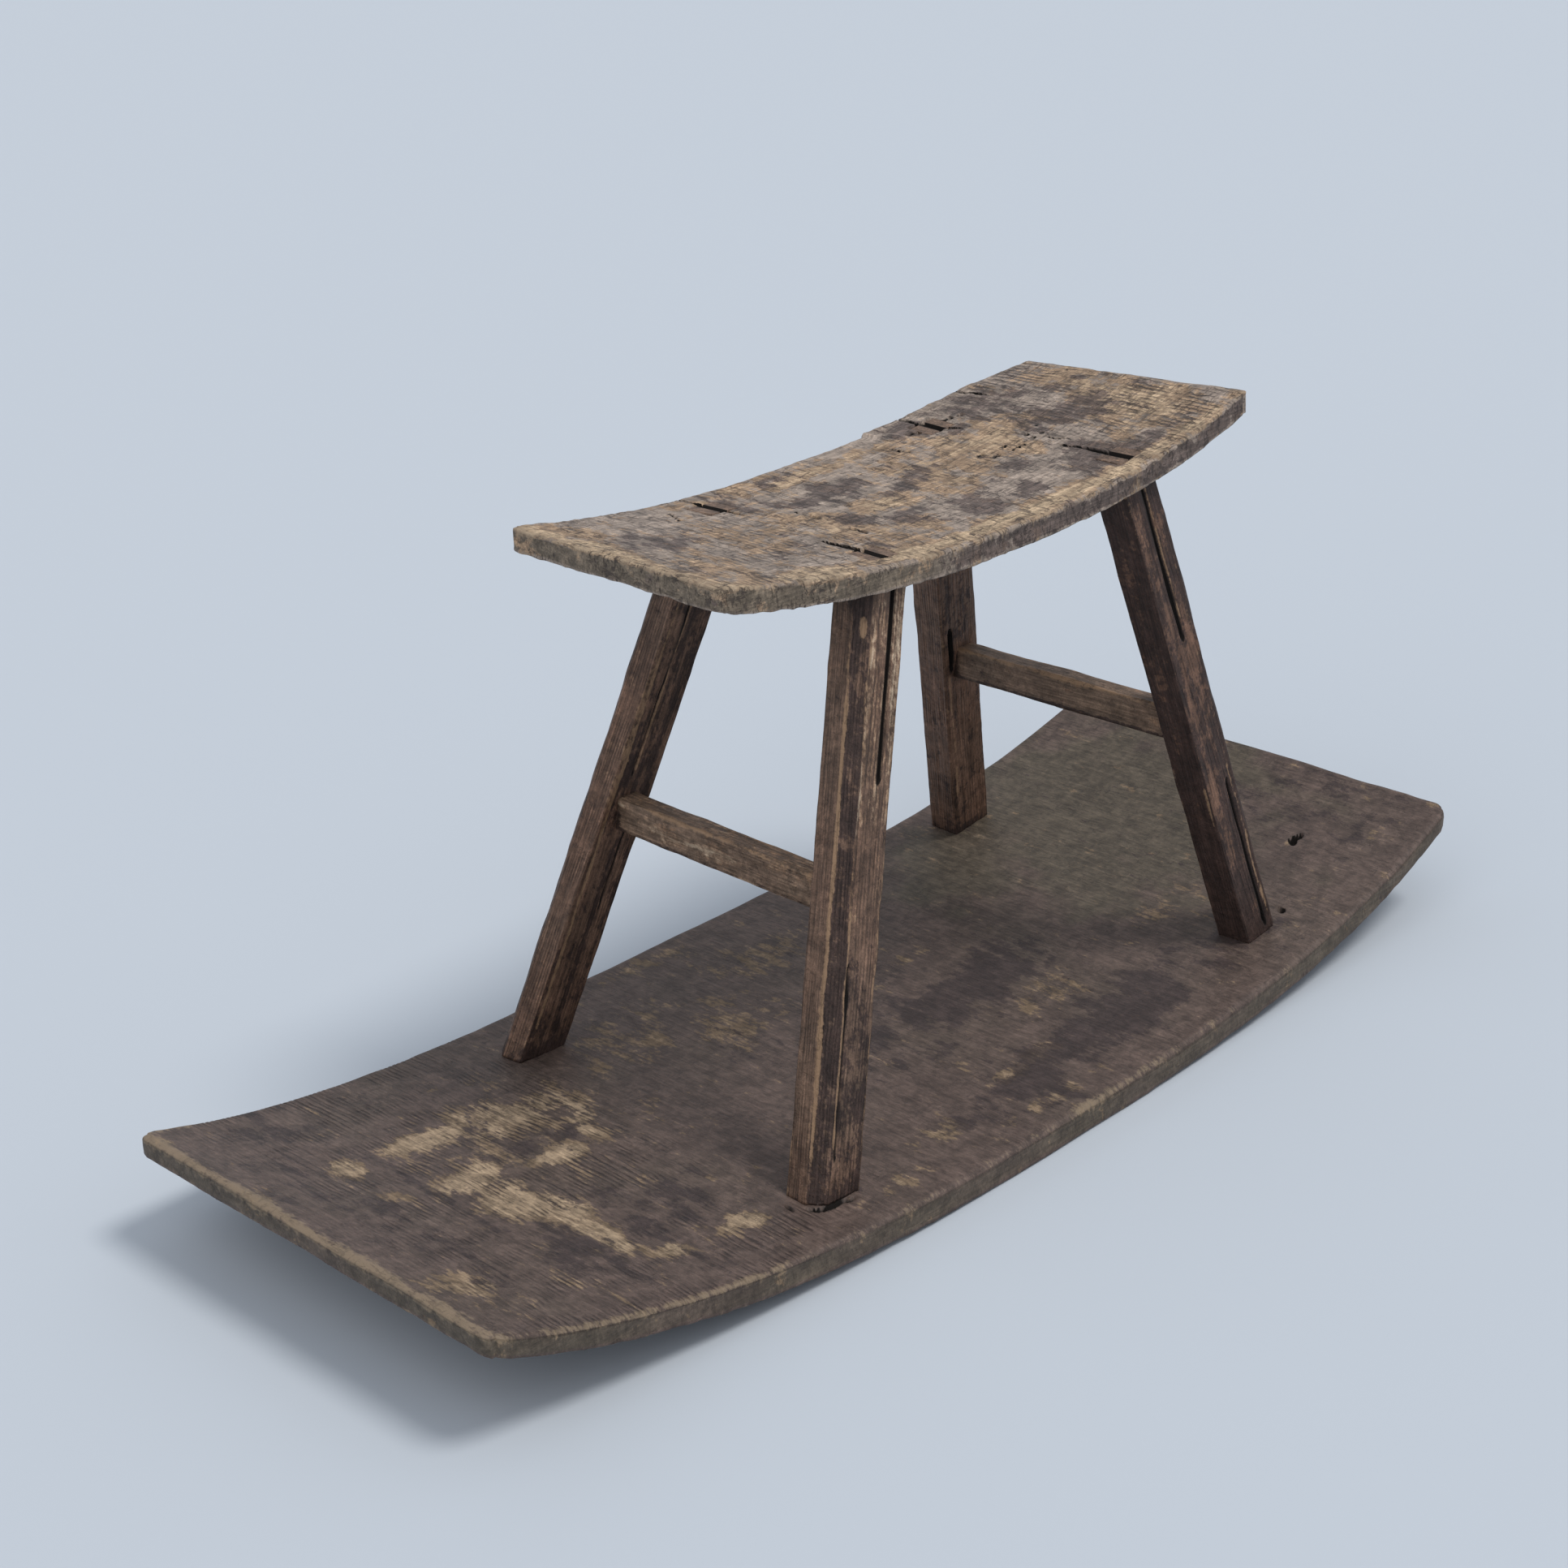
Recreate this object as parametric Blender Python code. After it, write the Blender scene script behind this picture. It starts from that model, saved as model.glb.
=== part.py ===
"""A rocking-bench seesaw: a plank seat on four splayed legs, tenoned into a long curved rocker board.

Metres, +Z up. The origin is on the floor under the middle of the rocker board, +X runs along the board and
+Y across it. The bench stands a little towards +X on the board. Nothing on it is hinged: the whole object
rocks end over end on the bent underside of its board.
"""

import math
from collections import namedtuple

import bmesh
import bpy
from mathutils import Matrix, Vector

# Rocker board
BOARD_LENGTH = 1.100
BOARD_END_WIDTH = 0.406
BOARD_BULGE = 0.031  # how far each long side swells out at the middle
BOARD_FLARE = 0.018  # how much further out the front side stands at the right end
BOARD_THICKNESS = 0.0245
BOARD_END_THICKNESS = 0.0185
BOARD_RISE = 0.076  # height of the underside above the floor at both ends
BOARD_TURN_UP = 0.40  # share of that rise which comes close to the ends
BOARD_FLAT = 0.110  # length of the flat that the object rests on
BOARD_CORNER = 0.012  # radius of the corners seen from above
BOARD_STEPS = 12  # facets in each bent half

# Seat plank
SEAT_HEIGHT = 0.467  # of the seat's top at its middle, above the floor
SEAT_LENGTH = 0.586
SEAT_END_WIDTH = 0.2335
SEAT_BULGE = 0.0065
SEAT_FLARE = 0.0
SEAT_THICKNESS = 0.020
SEAT_RISE = 0.029
SEAT_TURN_UP = 0.0
SEAT_FLAT = 0.045
SEAT_CORNER = 0.006
SEAT_STEPS = 6

# Places of the bench and of its seat, from the middle of the rocker board
BENCH_PLACE = Vector((0.072, -0.004))
SEAT_PLACE = Vector((0.070, -0.008))

# Legs: where they meet the seat's top and the board's top, from the middle of the bench
LEG_TOP = Vector((0.134, 0.0875))
LEG_FOOT = Vector((0.2695, 0.169))
LEG_WIDTH = 0.044  # along the bench
LEG_DEPTH = 0.032  # across it
LEG_CHAMFER = 0.011  # on the corner that faces away from the bench

# How far each leg of this hand-made bench stands from its even place, at the top and at the foot
LEG_SHIFTS = {
    "leg_front_left": (Vector((0.0065, -0.0055)), Vector((-0.0095, 0.0045))),
    "leg_front_right": (Vector((0.0250, -0.0065)), Vector((-0.0130, 0.0085))),
    "leg_back_left": (Vector((0.0100, -0.0085)), Vector((-0.0035, 0.0035))),
    "leg_back_right": (Vector((0.0020, -0.0040)), Vector((-0.0020, 0.0100))),
}

# Tenons through the seat and the board, and the wedges driven into them
SIDE_SHOULDER = 0.008
FACE_SHOULDER = 0.004
TENON_ROOT = 0.010  # how far a tenon is taken into its leg
WEDGE_THICKNESS = 0.0050
WEDGE_TIP = 0.0012
WEDGE_LENGTH = 0.014

# Stretchers, one between the two legs of each end
STRETCHER_HEIGHT = 0.234  # of its middle, above the floor
STRETCHER_DEPTH = 0.029  # upright
STRETCHER_THICKNESS = 0.019
STRETCHER_TENON = 0.020  # how deep its ends stand in the legs
MORTISE_PLAY = 0.0015  # the stretcher's worn mortises are this much too wide on each side

FIT = 0.0003  # gap between two pieces that touch
ARRIS = 0.0020  # worn edges of the planks
ARRIS_SEGMENTS = 2
SHARP = math.radians(40)  # bends below this angle are part of a curve
OVERRUN = 0.060  # how far a blank or a cutter runs past what it meets

Plank = namedtuple(
    "Plank",
    "centre base length end_width bulge flare thickness end_thickness rise turn_up flat corner steps",
)

BOARD = Plank(
    centre=Vector((0.0, 0.0)),
    base=0.0,
    length=BOARD_LENGTH,
    end_width=BOARD_END_WIDTH,
    bulge=BOARD_BULGE,
    flare=BOARD_FLARE,
    thickness=BOARD_THICKNESS,
    end_thickness=BOARD_END_THICKNESS,
    rise=BOARD_RISE,
    turn_up=BOARD_TURN_UP,
    flat=BOARD_FLAT,
    corner=BOARD_CORNER,
    steps=BOARD_STEPS,
)

SEAT = Plank(
    centre=SEAT_PLACE,
    base=SEAT_HEIGHT - SEAT_THICKNESS,
    length=SEAT_LENGTH,
    end_width=SEAT_END_WIDTH,
    bulge=SEAT_BULGE,
    flare=SEAT_FLARE,
    thickness=SEAT_THICKNESS,
    end_thickness=SEAT_THICKNESS,
    rise=SEAT_RISE,
    turn_up=SEAT_TURN_UP,
    flat=SEAT_FLAT,
    corner=SEAT_CORNER,
    steps=SEAT_STEPS,
)

WOODS = {
    "board_wood": ((0.250, 0.165, 0.115), 0.62),
    "seat_wood": ((0.300, 0.215, 0.150), 0.60),
    "leg_wood": ((0.235, 0.150, 0.100), 0.66),
    "stretcher_wood": ((0.290, 0.180, 0.110), 0.62),
    "wedge_wood": ((0.120, 0.080, 0.055), 0.80),
}


# ---- the bend of a plank ----


def bend(plank, x):
    """Nothing on the flat middle, then the square of the way to the end: 1 at both ends."""
    past_flat = max(abs(x) - plank.flat / 2, 0.0)
    return (past_flat / ((plank.length - plank.flat) / 2)) ** 2


def underside(plank, x):
    e = bend(plank, x)
    return plank.base + plank.rise * ((1 - plank.turn_up) * e + plank.turn_up * e * e)


def upside(plank, x):
    thinner = (plank.thickness - plank.end_thickness) * bend(plank, x)
    return underside(plank, x) + plank.thickness - thinner


def sides(plank, x):
    """How far the front and the back side stand from the plank's middle line."""
    way_out = 2 * x / plank.length
    back = plank.end_width / 2 + plank.bulge * (1 - way_out**2)
    return back + plank.flare * max(way_out, 0.0) ** 2, back


def stations(plank):
    """Places along a plank: one step over the flat middle and plank.steps over each bent half."""
    half_flat = plank.flat / 2
    bent = plank.length / 2 - half_flat
    right = [half_flat + bent * i / plank.steps for i in range(plank.steps + 1)]
    return [-x for x in reversed(right)] + right


def face_line(plank, face, offset=0.0):
    """The points (x, z) of a plank's upside or underside, moved up by an offset."""
    return [(plank.centre.x + x, face(plank, x) + offset) for x in stations(plank)]


# ---- making objects ----


def wood(slot):
    colour, roughness = WOODS[slot]
    material = bpy.data.materials.get(slot) or bpy.data.materials.new(slot)
    material.use_nodes = True
    shader = material.node_tree.nodes["Principled BSDF"]
    shader.inputs["Base Color"].default_value = (*colour, 1.0)
    shader.inputs["Roughness"].default_value = roughness
    shader.inputs["Metallic"].default_value = 0.0
    return material


def add_object(name, mesh_data, placement):
    mesh_data.normal_update()
    bmesh.ops.recalc_face_normals(mesh_data, faces=mesh_data.faces)
    mesh = bpy.data.meshes.new(name)
    mesh_data.to_mesh(mesh)
    mesh_data.free()
    piece = bpy.data.objects.new(name, mesh)
    bpy.context.scene.collection.objects.link(piece)
    piece.matrix_world = placement
    return piece


def tapered(name, low_outline, high_outline, low, high, placement):
    """A straight-sided solid between two outlines in local X and Y, at the local heights low and high."""
    data = bmesh.new()
    rings = [
        [data.verts.new((x, y, z)) for x, y in outline]
        for outline, z in ((low_outline, low), (high_outline, high))
    ]
    data.faces.new(reversed(rings[0]))
    data.faces.new(rings[1])
    for i in range(len(low_outline)):
        j = (i + 1) % len(low_outline)
        data.faces.new((rings[0][i], rings[0][j], rings[1][j], rings[1][i]))
    return add_object(name, data, placement)


def prism(name, outline, low, high, placement):
    return tapered(name, outline, outline, low, high, placement)


def rectangle(width, depth):
    x, y = width / 2, depth / 2
    return [(-x, -y), (x, -y), (x, y), (-x, y)]


def chamfered(width, depth, chamfer, outer_x, outer_y):
    """A rectangle that has lost the corner towards (outer_x, outer_y)."""
    points = [p for p in rectangle(width, depth) if (p[0] * outer_x < 0 or p[1] * outer_y < 0)]
    points.append((outer_x * (width / 2 - chamfer), outer_y * depth / 2))
    points.append((outer_x * width / 2, outer_y * (depth / 2 - chamfer)))
    return sorted(points, key=lambda p: math.atan2(p[1], p[0]))


def placed_along(start, end):
    """Local Z runs from start to end, with local X as close to the object's X as it can be."""
    z = (end - start).normalized()
    y = z.cross(Vector((1, 0, 0))).normalized()
    turn = Matrix((y.cross(z), y, z)).transposed().to_4x4()
    return Matrix.Translation(start) @ turn


def slab_between(name, lower, upper):
    """What lies between two lines of points (x, z), right across the object."""
    reach = BOARD_END_WIDTH
    sideways = Matrix.Rotation(math.pi / 2, 4, "X")
    return prism(name, lower + upper[::-1], -reach, reach, sideways)


def as_helper(piece):
    piece.hide_render = True
    piece.display_type = "WIRE"
    return piece


def boolean(piece, operation, other):
    modifier = piece.modifiers.new(f"{operation.lower()}_{other.name}", "BOOLEAN")
    modifier.operation = operation
    modifier.solver = "EXACT"
    modifier.object = other


def finish(piece, slot, parent):
    piece.data.materials.append(wood(slot))
    piece.parent = parent


# ---- the planks ----


def make_plank(name, plank):
    data = bmesh.new()
    rings = []
    for x in stations(plank):
        front, back = sides(plank, x)
        low, high = underside(plank, x), upside(plank, x)
        corners = ((-front, low), (back, low), (back, high), (-front, high))
        rings.append([data.verts.new((x, y, z)) for y, z in corners])
    for left, right in zip(rings, rings[1:]):
        for i in range(4):
            j = (i + 1) % 4
            data.faces.new((left[i], left[j], right[j], right[i]))
    data.faces.new(reversed(rings[0]))
    data.faces.new(rings[-1])
    upright = [
        edge
        for ring in (rings[0], rings[-1])
        for edge in (data.edges.get((ring[0], ring[3])), data.edges.get((ring[1], ring[2])))
    ]
    bmesh.ops.bevel(
        data, geom=upright, offset=plank.corner, segments=5, profile=0.5, affect="EDGES"
    )
    piece = add_object(name, data, Matrix.Translation((*plank.centre, 0)))
    worn = piece.modifiers.new("worn_arrises", "BEVEL")
    worn.width = ARRIS
    worn.segments = ARRIS_SEGMENTS
    worn.limit_method = "ANGLE"
    worn.angle_limit = SHARP
    return piece


# ---- legs, tenons and wedges ----


def leg_ends(name):
    """Where a leg's middle line meets the board's top and the seat's top, and which way is outwards."""
    outer_x = 1 if name.endswith("right") else -1
    outer_y = 1 if "back" in name else -1
    top_shift, foot_shift = LEG_SHIFTS[name]
    outwards = Vector((outer_x, outer_y))
    top = BENCH_PLACE + LEG_TOP * outwards + top_shift
    foot = BENCH_PLACE + LEG_FOOT * outwards + foot_shift
    top_height = upside(SEAT, top.x - SEAT.centre.x)
    foot_height = upside(BOARD, foot.x - BOARD.centre.x)
    return Vector((*foot, foot_height)), Vector((*top, top_height)), outer_x, outer_y


def tenon_outline(gap=0.0):
    return rectangle(LEG_WIDTH - 2 * SIDE_SHOULDER + 2 * gap, LEG_DEPTH - 2 * FACE_SHOULDER + 2 * gap)


def wedge_blank(name, surface, inwards, placement, gap=0.0):
    """A wedge across the tenon: its tip points inwards, and its broad end stands out of the plank.

    surface is where the plank's face lies along the leg, and inwards is 1 up the leg or -1 down it.
    """
    depth = LEG_DEPTH - 2 * FACE_SHOULDER + (OVERRUN if gap else 0.0)
    grow = (WEDGE_THICKNESS - WEDGE_TIP) / WEDGE_LENGTH
    tip = surface + inwards * (WEDGE_LENGTH + gap)
    end = surface - inwards * WEDGE_LENGTH
    outlines = [
        rectangle(WEDGE_TIP + 2 * gap, depth),
        rectangle(WEDGE_TIP + 2 * gap + grow * 2 * WEDGE_LENGTH, depth),
    ]
    if inwards > 0:
        return tapered(name, outlines[1], outlines[0], end, tip, placement)
    return tapered(name, outlines[0], outlines[1], tip, end, placement)


def make_leg(name, stretcher_space, seat, board, frame):
    foot, top, outer_x, outer_y = leg_ends(name)
    placement = placed_along(foot, top)
    length = (top - foot).length
    board_depth = BOARD_THICKNESS * length / (top.z - foot.z)
    ends = (-OVERRUN, length + OVERRUN)

    between = slab_between(
        f"{name}_between_planks",
        face_line(BOARD, upside, FIT),
        face_line(SEAT, underside, -FIT),
    )
    outline = chamfered(LEG_WIDTH, LEG_DEPTH, LEG_CHAMFER, outer_x, outer_y)
    leg = prism(name, outline, *ends, placement)
    boolean(leg, "INTERSECT", as_helper(between))

    bands = {
        "seat": (face_line(SEAT, underside, -TENON_ROOT), face_line(SEAT, upside)),
        "foot": (face_line(BOARD, underside), face_line(BOARD, upside, TENON_ROOT)),
    }
    surfaces = {"seat": (length, -1), "foot": (-board_depth, 1)}
    planks = {"seat": seat, "foot": board}
    for end, band in bands.items():
        slab = as_helper(slab_between(f"{name}_{end}_band", *band))
        tenon = as_helper(prism(f"{name}_{end}_tenon", tenon_outline(), *ends, placement))
        boolean(tenon, "INTERSECT", slab)
        boolean(leg, "UNION", tenon)

        mortise = prism(f"{name}_{end}_mortise", tenon_outline(FIT), *ends, placement)
        boolean(planks[end], "DIFFERENCE", as_helper(mortise))

        kerf = wedge_blank(f"{name}_{end}_kerf", *surfaces[end], placement, gap=FIT)
        boolean(leg, "DIFFERENCE", as_helper(kerf))

        wedge = wedge_blank(name.replace("leg", f"wedge_{end}"), *surfaces[end], placement)
        boolean(wedge, "INTERSECT", slab)
        finish(wedge, "wedge_wood", frame)

    boolean(leg, "DIFFERENCE", stretcher_space)
    finish(leg, "leg_wood", frame)


# ---- stretchers ----


def stretcher_line(side):
    """The stretcher's two ends: a tenon's depth into each leg, on the legs' middle lines."""
    points = []
    for row in ("front", "back"):
        foot, top, _, _ = leg_ends(f"leg_{row}_{side}")
        points.append(foot.lerp(top, (STRETCHER_HEIGHT - foot.z) / (top.z - foot.z)))
    past_middle = (points[1] - points[0]).normalized() * (STRETCHER_TENON - LEG_DEPTH / 2)
    return points[0] - past_middle, points[1] + past_middle


def make_stretcher(side, frame):
    """The stretcher, and the space that its mortises need."""
    start, end = stretcher_line(side)
    placement = placed_along(start, end)
    length = (end - start).length
    outline = rectangle(STRETCHER_THICKNESS, STRETCHER_DEPTH)
    stretcher = prism(f"stretcher_{side}", outline, 0.0, length, placement)
    finish(stretcher, "stretcher_wood", frame)
    roomy = rectangle(STRETCHER_THICKNESS + 2 * MORTISE_PLAY, STRETCHER_DEPTH + 2 * FIT)
    return as_helper(prism(f"stretcher_{side}_space", roomy, -FIT, length + FIT, placement))


def main():
    for old in list(bpy.data.objects):
        bpy.data.objects.remove(old, do_unlink=True)

    frame = bpy.data.objects.new("rocking_bench", None)
    bpy.context.scene.collection.objects.link(frame)

    board = make_plank("rocker_board", BOARD)
    finish(board, "board_wood", frame)
    seat = make_plank("seat_plank", SEAT)
    finish(seat, "seat_wood", frame)

    for side in ("left", "right"):
        space = make_stretcher(side, frame)
        for row in ("front", "back"):
            make_leg(f"leg_{row}_{side}", space, seat, board, frame)


main()
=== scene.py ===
"""Looks of an old rocking-bench seesaw: a dished seat on four splayed legs, set in a curved rocker board.

Every wooden piece is a brick of grid lines, worn round at its arrises, bent to its place and then scored with
cracks, mortises and chips. The wood is solid: its rings and fibres come from each piece's own grain place, so
that hollowing a plank cuts the rings into close lines across it.
"""

import functools
import math

import bpy
import numpy as np
from mathutils import Matrix, Vector


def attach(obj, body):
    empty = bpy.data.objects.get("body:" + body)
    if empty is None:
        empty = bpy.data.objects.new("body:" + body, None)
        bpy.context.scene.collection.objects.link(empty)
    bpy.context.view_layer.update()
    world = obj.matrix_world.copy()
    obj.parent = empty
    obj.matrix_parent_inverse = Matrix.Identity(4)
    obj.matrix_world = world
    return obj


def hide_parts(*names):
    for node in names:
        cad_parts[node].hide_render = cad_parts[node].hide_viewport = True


MM = 0.001

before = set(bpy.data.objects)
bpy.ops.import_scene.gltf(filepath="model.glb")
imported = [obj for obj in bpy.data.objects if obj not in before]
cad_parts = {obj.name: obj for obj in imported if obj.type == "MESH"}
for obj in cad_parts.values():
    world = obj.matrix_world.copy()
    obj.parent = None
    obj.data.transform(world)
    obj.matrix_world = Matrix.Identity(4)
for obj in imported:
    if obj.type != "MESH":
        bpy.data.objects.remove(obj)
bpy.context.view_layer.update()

# ---- sizes, in metres: the CAD part's own, with the wear that only the eye needs ----

BOARD = dict(
    node="rocker_board", place=(0.0, 0.0), base=0.0, length=1.100, width=0.406, thickness=0.0245,
    end_thickness=0.0185, bulge=0.031, flare=0.018, taper=0.0, rise=0.076, turn_up=0.40, flat=0.110,
    corner=0.014, twist=0.0, line_spacing=0.0046, arris=(0.005, 0.003), step=(0.0075, 0.006),
)
SEAT = dict(
    node="seat_plank", place=(0.070, -0.008), base=0.447, length=0.586, width=0.2335, thickness=0.020,
    end_thickness=0.020, bulge=0.0065, flare=0.0, taper=0.008, rise=0.029, turn_up=0.0, flat=0.045,
    corner=0.005, twist=0.005, line_spacing=0.0058, arris=(0.0032, 0.002), step=(0.0029, 0.0028),
)
BENCH_PLACE = np.array((0.072, -0.004))
LEG_TOP = np.array((0.134, 0.0875))
LEG_FOOT = np.array((0.2695, 0.169))
LEG_WIDTH, LEG_DEPTH, LEG_CHAMFER = 0.044, 0.032, 0.011
TENON_WIDTH, TENON_DEPTH = 0.028, 0.024
LEG_SHIFTS = {
    "front_left": ((0.0065, -0.0055), (-0.0095, 0.0045)),
    "front_right": ((0.0250, -0.0065), (-0.0130, 0.0085)),
    "back_left": ((0.0100, -0.0085), (-0.0035, 0.0035)),
    "back_right": ((0.0020, -0.0040), (-0.0020, 0.0100)),
}
STRETCHER_HEIGHT, STRETCHER_DEPTH, STRETCHER_THICKNESS = 0.234, 0.029, 0.019
POCKET = 0.007  # how deep a mortise is cut where its tenon shows
WEDGE_THICKNESS, WEDGE_LENGTH = 0.005, 0.014


# ---- noise and masks, worked out on whole arrays ----


def smooth(low, high, value):
    """0 below low, 1 above high and an S-curve between them; low may be the larger of the two."""
    t = np.clip((value - low) / (high - low), 0.0, 1.0)
    return t * t * (3 - 2 * t)


def noise(points, size, seed):
    """Value noise, -1 to 1: each corner of a lattice of cells has a random value, blended by S-curves.

    size is the length of a cell, one number or one for each axis, so a long size makes streaks.
    """
    table = np.random.default_rng(seed).uniform(-1, 1, 4096)
    cells = points / np.broadcast_to(np.asarray(size, float), (3,))
    low = np.floor(cells).astype(np.int64)
    t = cells - low
    t = t * t * (3 - 2 * t)
    total = np.zeros(len(points))
    for corner in np.ndindex(2, 2, 2):
        i = low + corner
        pick = (i[:, 0] * 73856093) ^ (i[:, 1] * 19349663) ^ (i[:, 2] * 83492791)
        weight = np.prod(np.where(np.array(corner), t, 1 - t), axis=1)
        total += weight * table[pick & 4095]
    return total


def fractal(points, size, seed, octaves=3):
    """Value noise added to itself at half the size and half the strength, octave after octave."""
    size = np.asarray(size, float)
    return sum(noise(points, size / 2**k, seed + k) / 2**k for k in range(octaves))


def blots(points, shapes, rough=0.35, seed=5):
    """Soft ellipses on a plank seen from above, pushed about by noise: 1 at the heart, 0 well outside.

    Each shape is (x, y, half length, half width, turn in degrees, strength), its sizes in millimetres.
    """
    wander = rough * fractal(points, 0.03, seed, 4)
    total = np.zeros(len(points))
    for *sizes, turn, strength in shapes:
        x, y, a, b = np.array(sizes) * MM
        c, s = math.cos(math.radians(turn)), math.sin(math.radians(turn))
        dx, dy = points[:, 0] - x, points[:, 1] - y
        reach = np.hypot((c * dx + s * dy) / a, (c * dy - s * dx) / b)
        total = np.maximum(total, strength * smooth(1.75, 0.35, reach + wander))
    return total


def gash(points, line, width, seed=3, wander=0.6):
    """A crack seen from above: 1 on the broken line through the given points, falling to 0 at half its width.

    The crack is widest in its middle and runs out at both ends. Its sizes are in millimetres.
    """
    line, width, wander = np.array(line) * MM, width * MM, wander * MM
    lengths = np.hypot(*np.diff(line, axis=0).T)
    total, run, found = lengths.sum(), 0.0, np.zeros(len(points))
    place = points[:, :2] + wander * np.stack(
        [noise(points, 0.006, seed), noise(points, 0.006, seed + 1)], axis=1
    )
    for start, end, length in zip(line, line[1:], lengths):
        along = (end - start) / length
        t = np.clip((place - start) @ along, 0, length)
        away = np.hypot(*(place - start - t[:, None] * along).T)
        middle = np.abs((run + t) / total - 0.5) * 2
        half = 0.5 * width * np.sqrt(np.clip(1.02 - middle**2.5, 0.0, 1.0))
        found = np.maximum(found, np.clip(1 - away / np.maximum(half, 1e-6), 0, 1))
        run += length
    return found


def line_place(points, seed):
    """Where a point lies across the crosswise lines: its x, made a little unsteady along and across."""
    bent = 3.5 * MM * noise(points, (0.09, 0.11, 0.5), seed + 500)
    bent += 0.9 * MM * noise(points, (0.02, 0.018, 0.5), seed + 501)
    return points[:, 0] + bent + 0.12 * points[:, 1] ** 2


def cross_lines(points, spacing, seed):
    """1 along each crosswise line, 0 midway between two: half a cosine wave, sharpened."""
    wave = 0.5 + 0.5 * np.cos(2 * math.pi * line_place(points, seed) / spacing)
    return wave**3


def hollowed(found):
    """How deep a crack is cut, 0 to 1: its walls are steep and keep inside the lips darkened by painted
    shade.
    """
    return np.sqrt(np.clip((found - 0.28) / 0.72, 0.0, 1.0))


def crack_shade(found):
    """How much painted shade darkens a crack, 0 to 1: full before its hollow starts."""
    return smooth(0.04, 0.28, found)


# ---- the brick: a closed box of quads on chosen grid lines ----


def brick(xs, ys, zs):
    """The six faces of a box on the grid lines xs, ys and zs, as shared points and outward quads."""
    shape = (len(xs), len(ys), len(zs))
    skin = np.zeros(shape, bool)
    for axis in range(3):
        skin[tuple([0, -1] if a == axis else slice(None) for a in range(3))] = True
    index = np.full(shape, -1)
    index[skin] = np.arange(skin.sum())
    places = np.argwhere(skin)
    points = np.stack([xs[places[:, 0]], ys[places[:, 1]], zs[places[:, 2]]], axis=1)
    quads = []
    for axis in range(3):
        for end in (0, -1):
            face = index.take(end, axis=axis)
            loop = [face[:-1, :-1], face[1:, :-1], face[1:, 1:], face[:-1, 1:]]
            flip = (end == 0) ^ (axis == 1)
            loop = loop[::-1] if flip else loop
            quads.append(np.stack([part.ravel() for part in loop], axis=1))
    return points, np.concatenate(quads)


def lines(half, edge, step, extra=()):
    """Grid lines from -half to half: close together within edge of both ends, about step apart between."""
    close = half - edge * (1 - np.cos(np.linspace(0, math.pi / 2, 5)))
    middle = np.linspace(-(half - edge), half - edge, max(int(2 * (half - edge) / step), 1) + 1)
    found = np.concatenate([-close, close, middle, *extra])
    found = np.sort(found[np.abs(found) <= half])
    return found[np.concatenate([[True], np.diff(found) > 0.12 * MM])]


def round_arrises(points, half, radius):
    """Pulls each point near an arris onto a ball of the local radius that touches the brick's faces."""
    inner = np.clip(points, -(half - radius[:, None]), half - radius[:, None])
    out = points - inner
    length = np.linalg.norm(out, axis=1)
    pulled = inner + out * (radius / np.maximum(length, 1e-9))[:, None]
    return np.where((length > 1e-9)[:, None], pulled, points)


def make_piece(name, points, quads, attributes):
    """A mesh object at the origin from whole arrays; each attribute has one value or three at each point."""
    mesh = bpy.data.meshes.new(name)
    mesh.vertices.add(len(points))
    mesh.vertices.foreach_set("co", points.astype(np.float32).ravel())
    mesh.loops.add(quads.size)
    mesh.loops.foreach_set("vertex_index", quads.astype(np.int32).ravel())
    mesh.polygons.add(len(quads))
    mesh.polygons.foreach_set("loop_start", np.arange(0, quads.size, 4, dtype=np.int32))
    mesh.update(calc_edges=True)
    mesh.validate()
    mesh.shade_smooth()
    for label, values in attributes.items():
        kind, field = ("FLOAT_VECTOR", "vector") if values.ndim == 2 else ("FLOAT", "value")
        layer = mesh.attributes.new(label, kind, "POINT")
        layer.data.foreach_set(field, values.astype(np.float32).ravel())
    piece = bpy.data.objects.new(name, mesh)
    bpy.context.scene.collection.objects.link(piece)
    return piece


# ---- the planks ----


def bend(plank, x):
    """Nothing on the flat middle, then the square of the way to the end: 1 at both ends."""
    past_flat = np.maximum(np.abs(x) - plank["flat"] / 2, 0.0)
    return (past_flat / ((plank["length"] - plank["flat"]) / 2)) ** 2


def underside(plank, x):
    e = bend(plank, x)
    return plank["base"] + plank["rise"] * ((1 - plank["turn_up"]) * e + plank["turn_up"] * e * e)


def upside(plank, x):
    thinner = (plank["thickness"] - plank["end_thickness"]) * bend(plank, x)
    return underside(plank, x) + plank["thickness"] - thinner


def bent_to_shape(plank, points):
    """A flat brick point (along, across, up) set on the bent plank, in the object's place.

    Across is stretched to the swelling sides: flare widens the front of the right end by the square of the
    way out, taper narrows the front of the left end by its cube. Up runs from the underside to the upside,
    and twist lifts the front of the right end and lowers its back.
    """
    x = points[:, 0]
    way_out = 2 * x / plank["length"]
    back = plank["width"] / 2 + plank["bulge"] * (1 - way_out**2)
    front = back + plank["flare"] * np.maximum(way_out, 0) ** 2
    front -= plank["taper"] * np.maximum(-way_out, 0) ** 3
    across = points[:, 1] / (plank["width"] / 2)
    y = np.where(across < 0, across * front, across * back)
    low, high = underside(plank, x), upside(plank, x)
    t = points[:, 2] / plank["thickness"] + 0.5
    lift = -plank["twist"] * across * bend(plank, x) ** 2 * (x > 0)
    z = low + t * (high - low) + lift
    return np.stack([x + plank["place"][0], y + plank["place"][1], z], axis=1)


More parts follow.
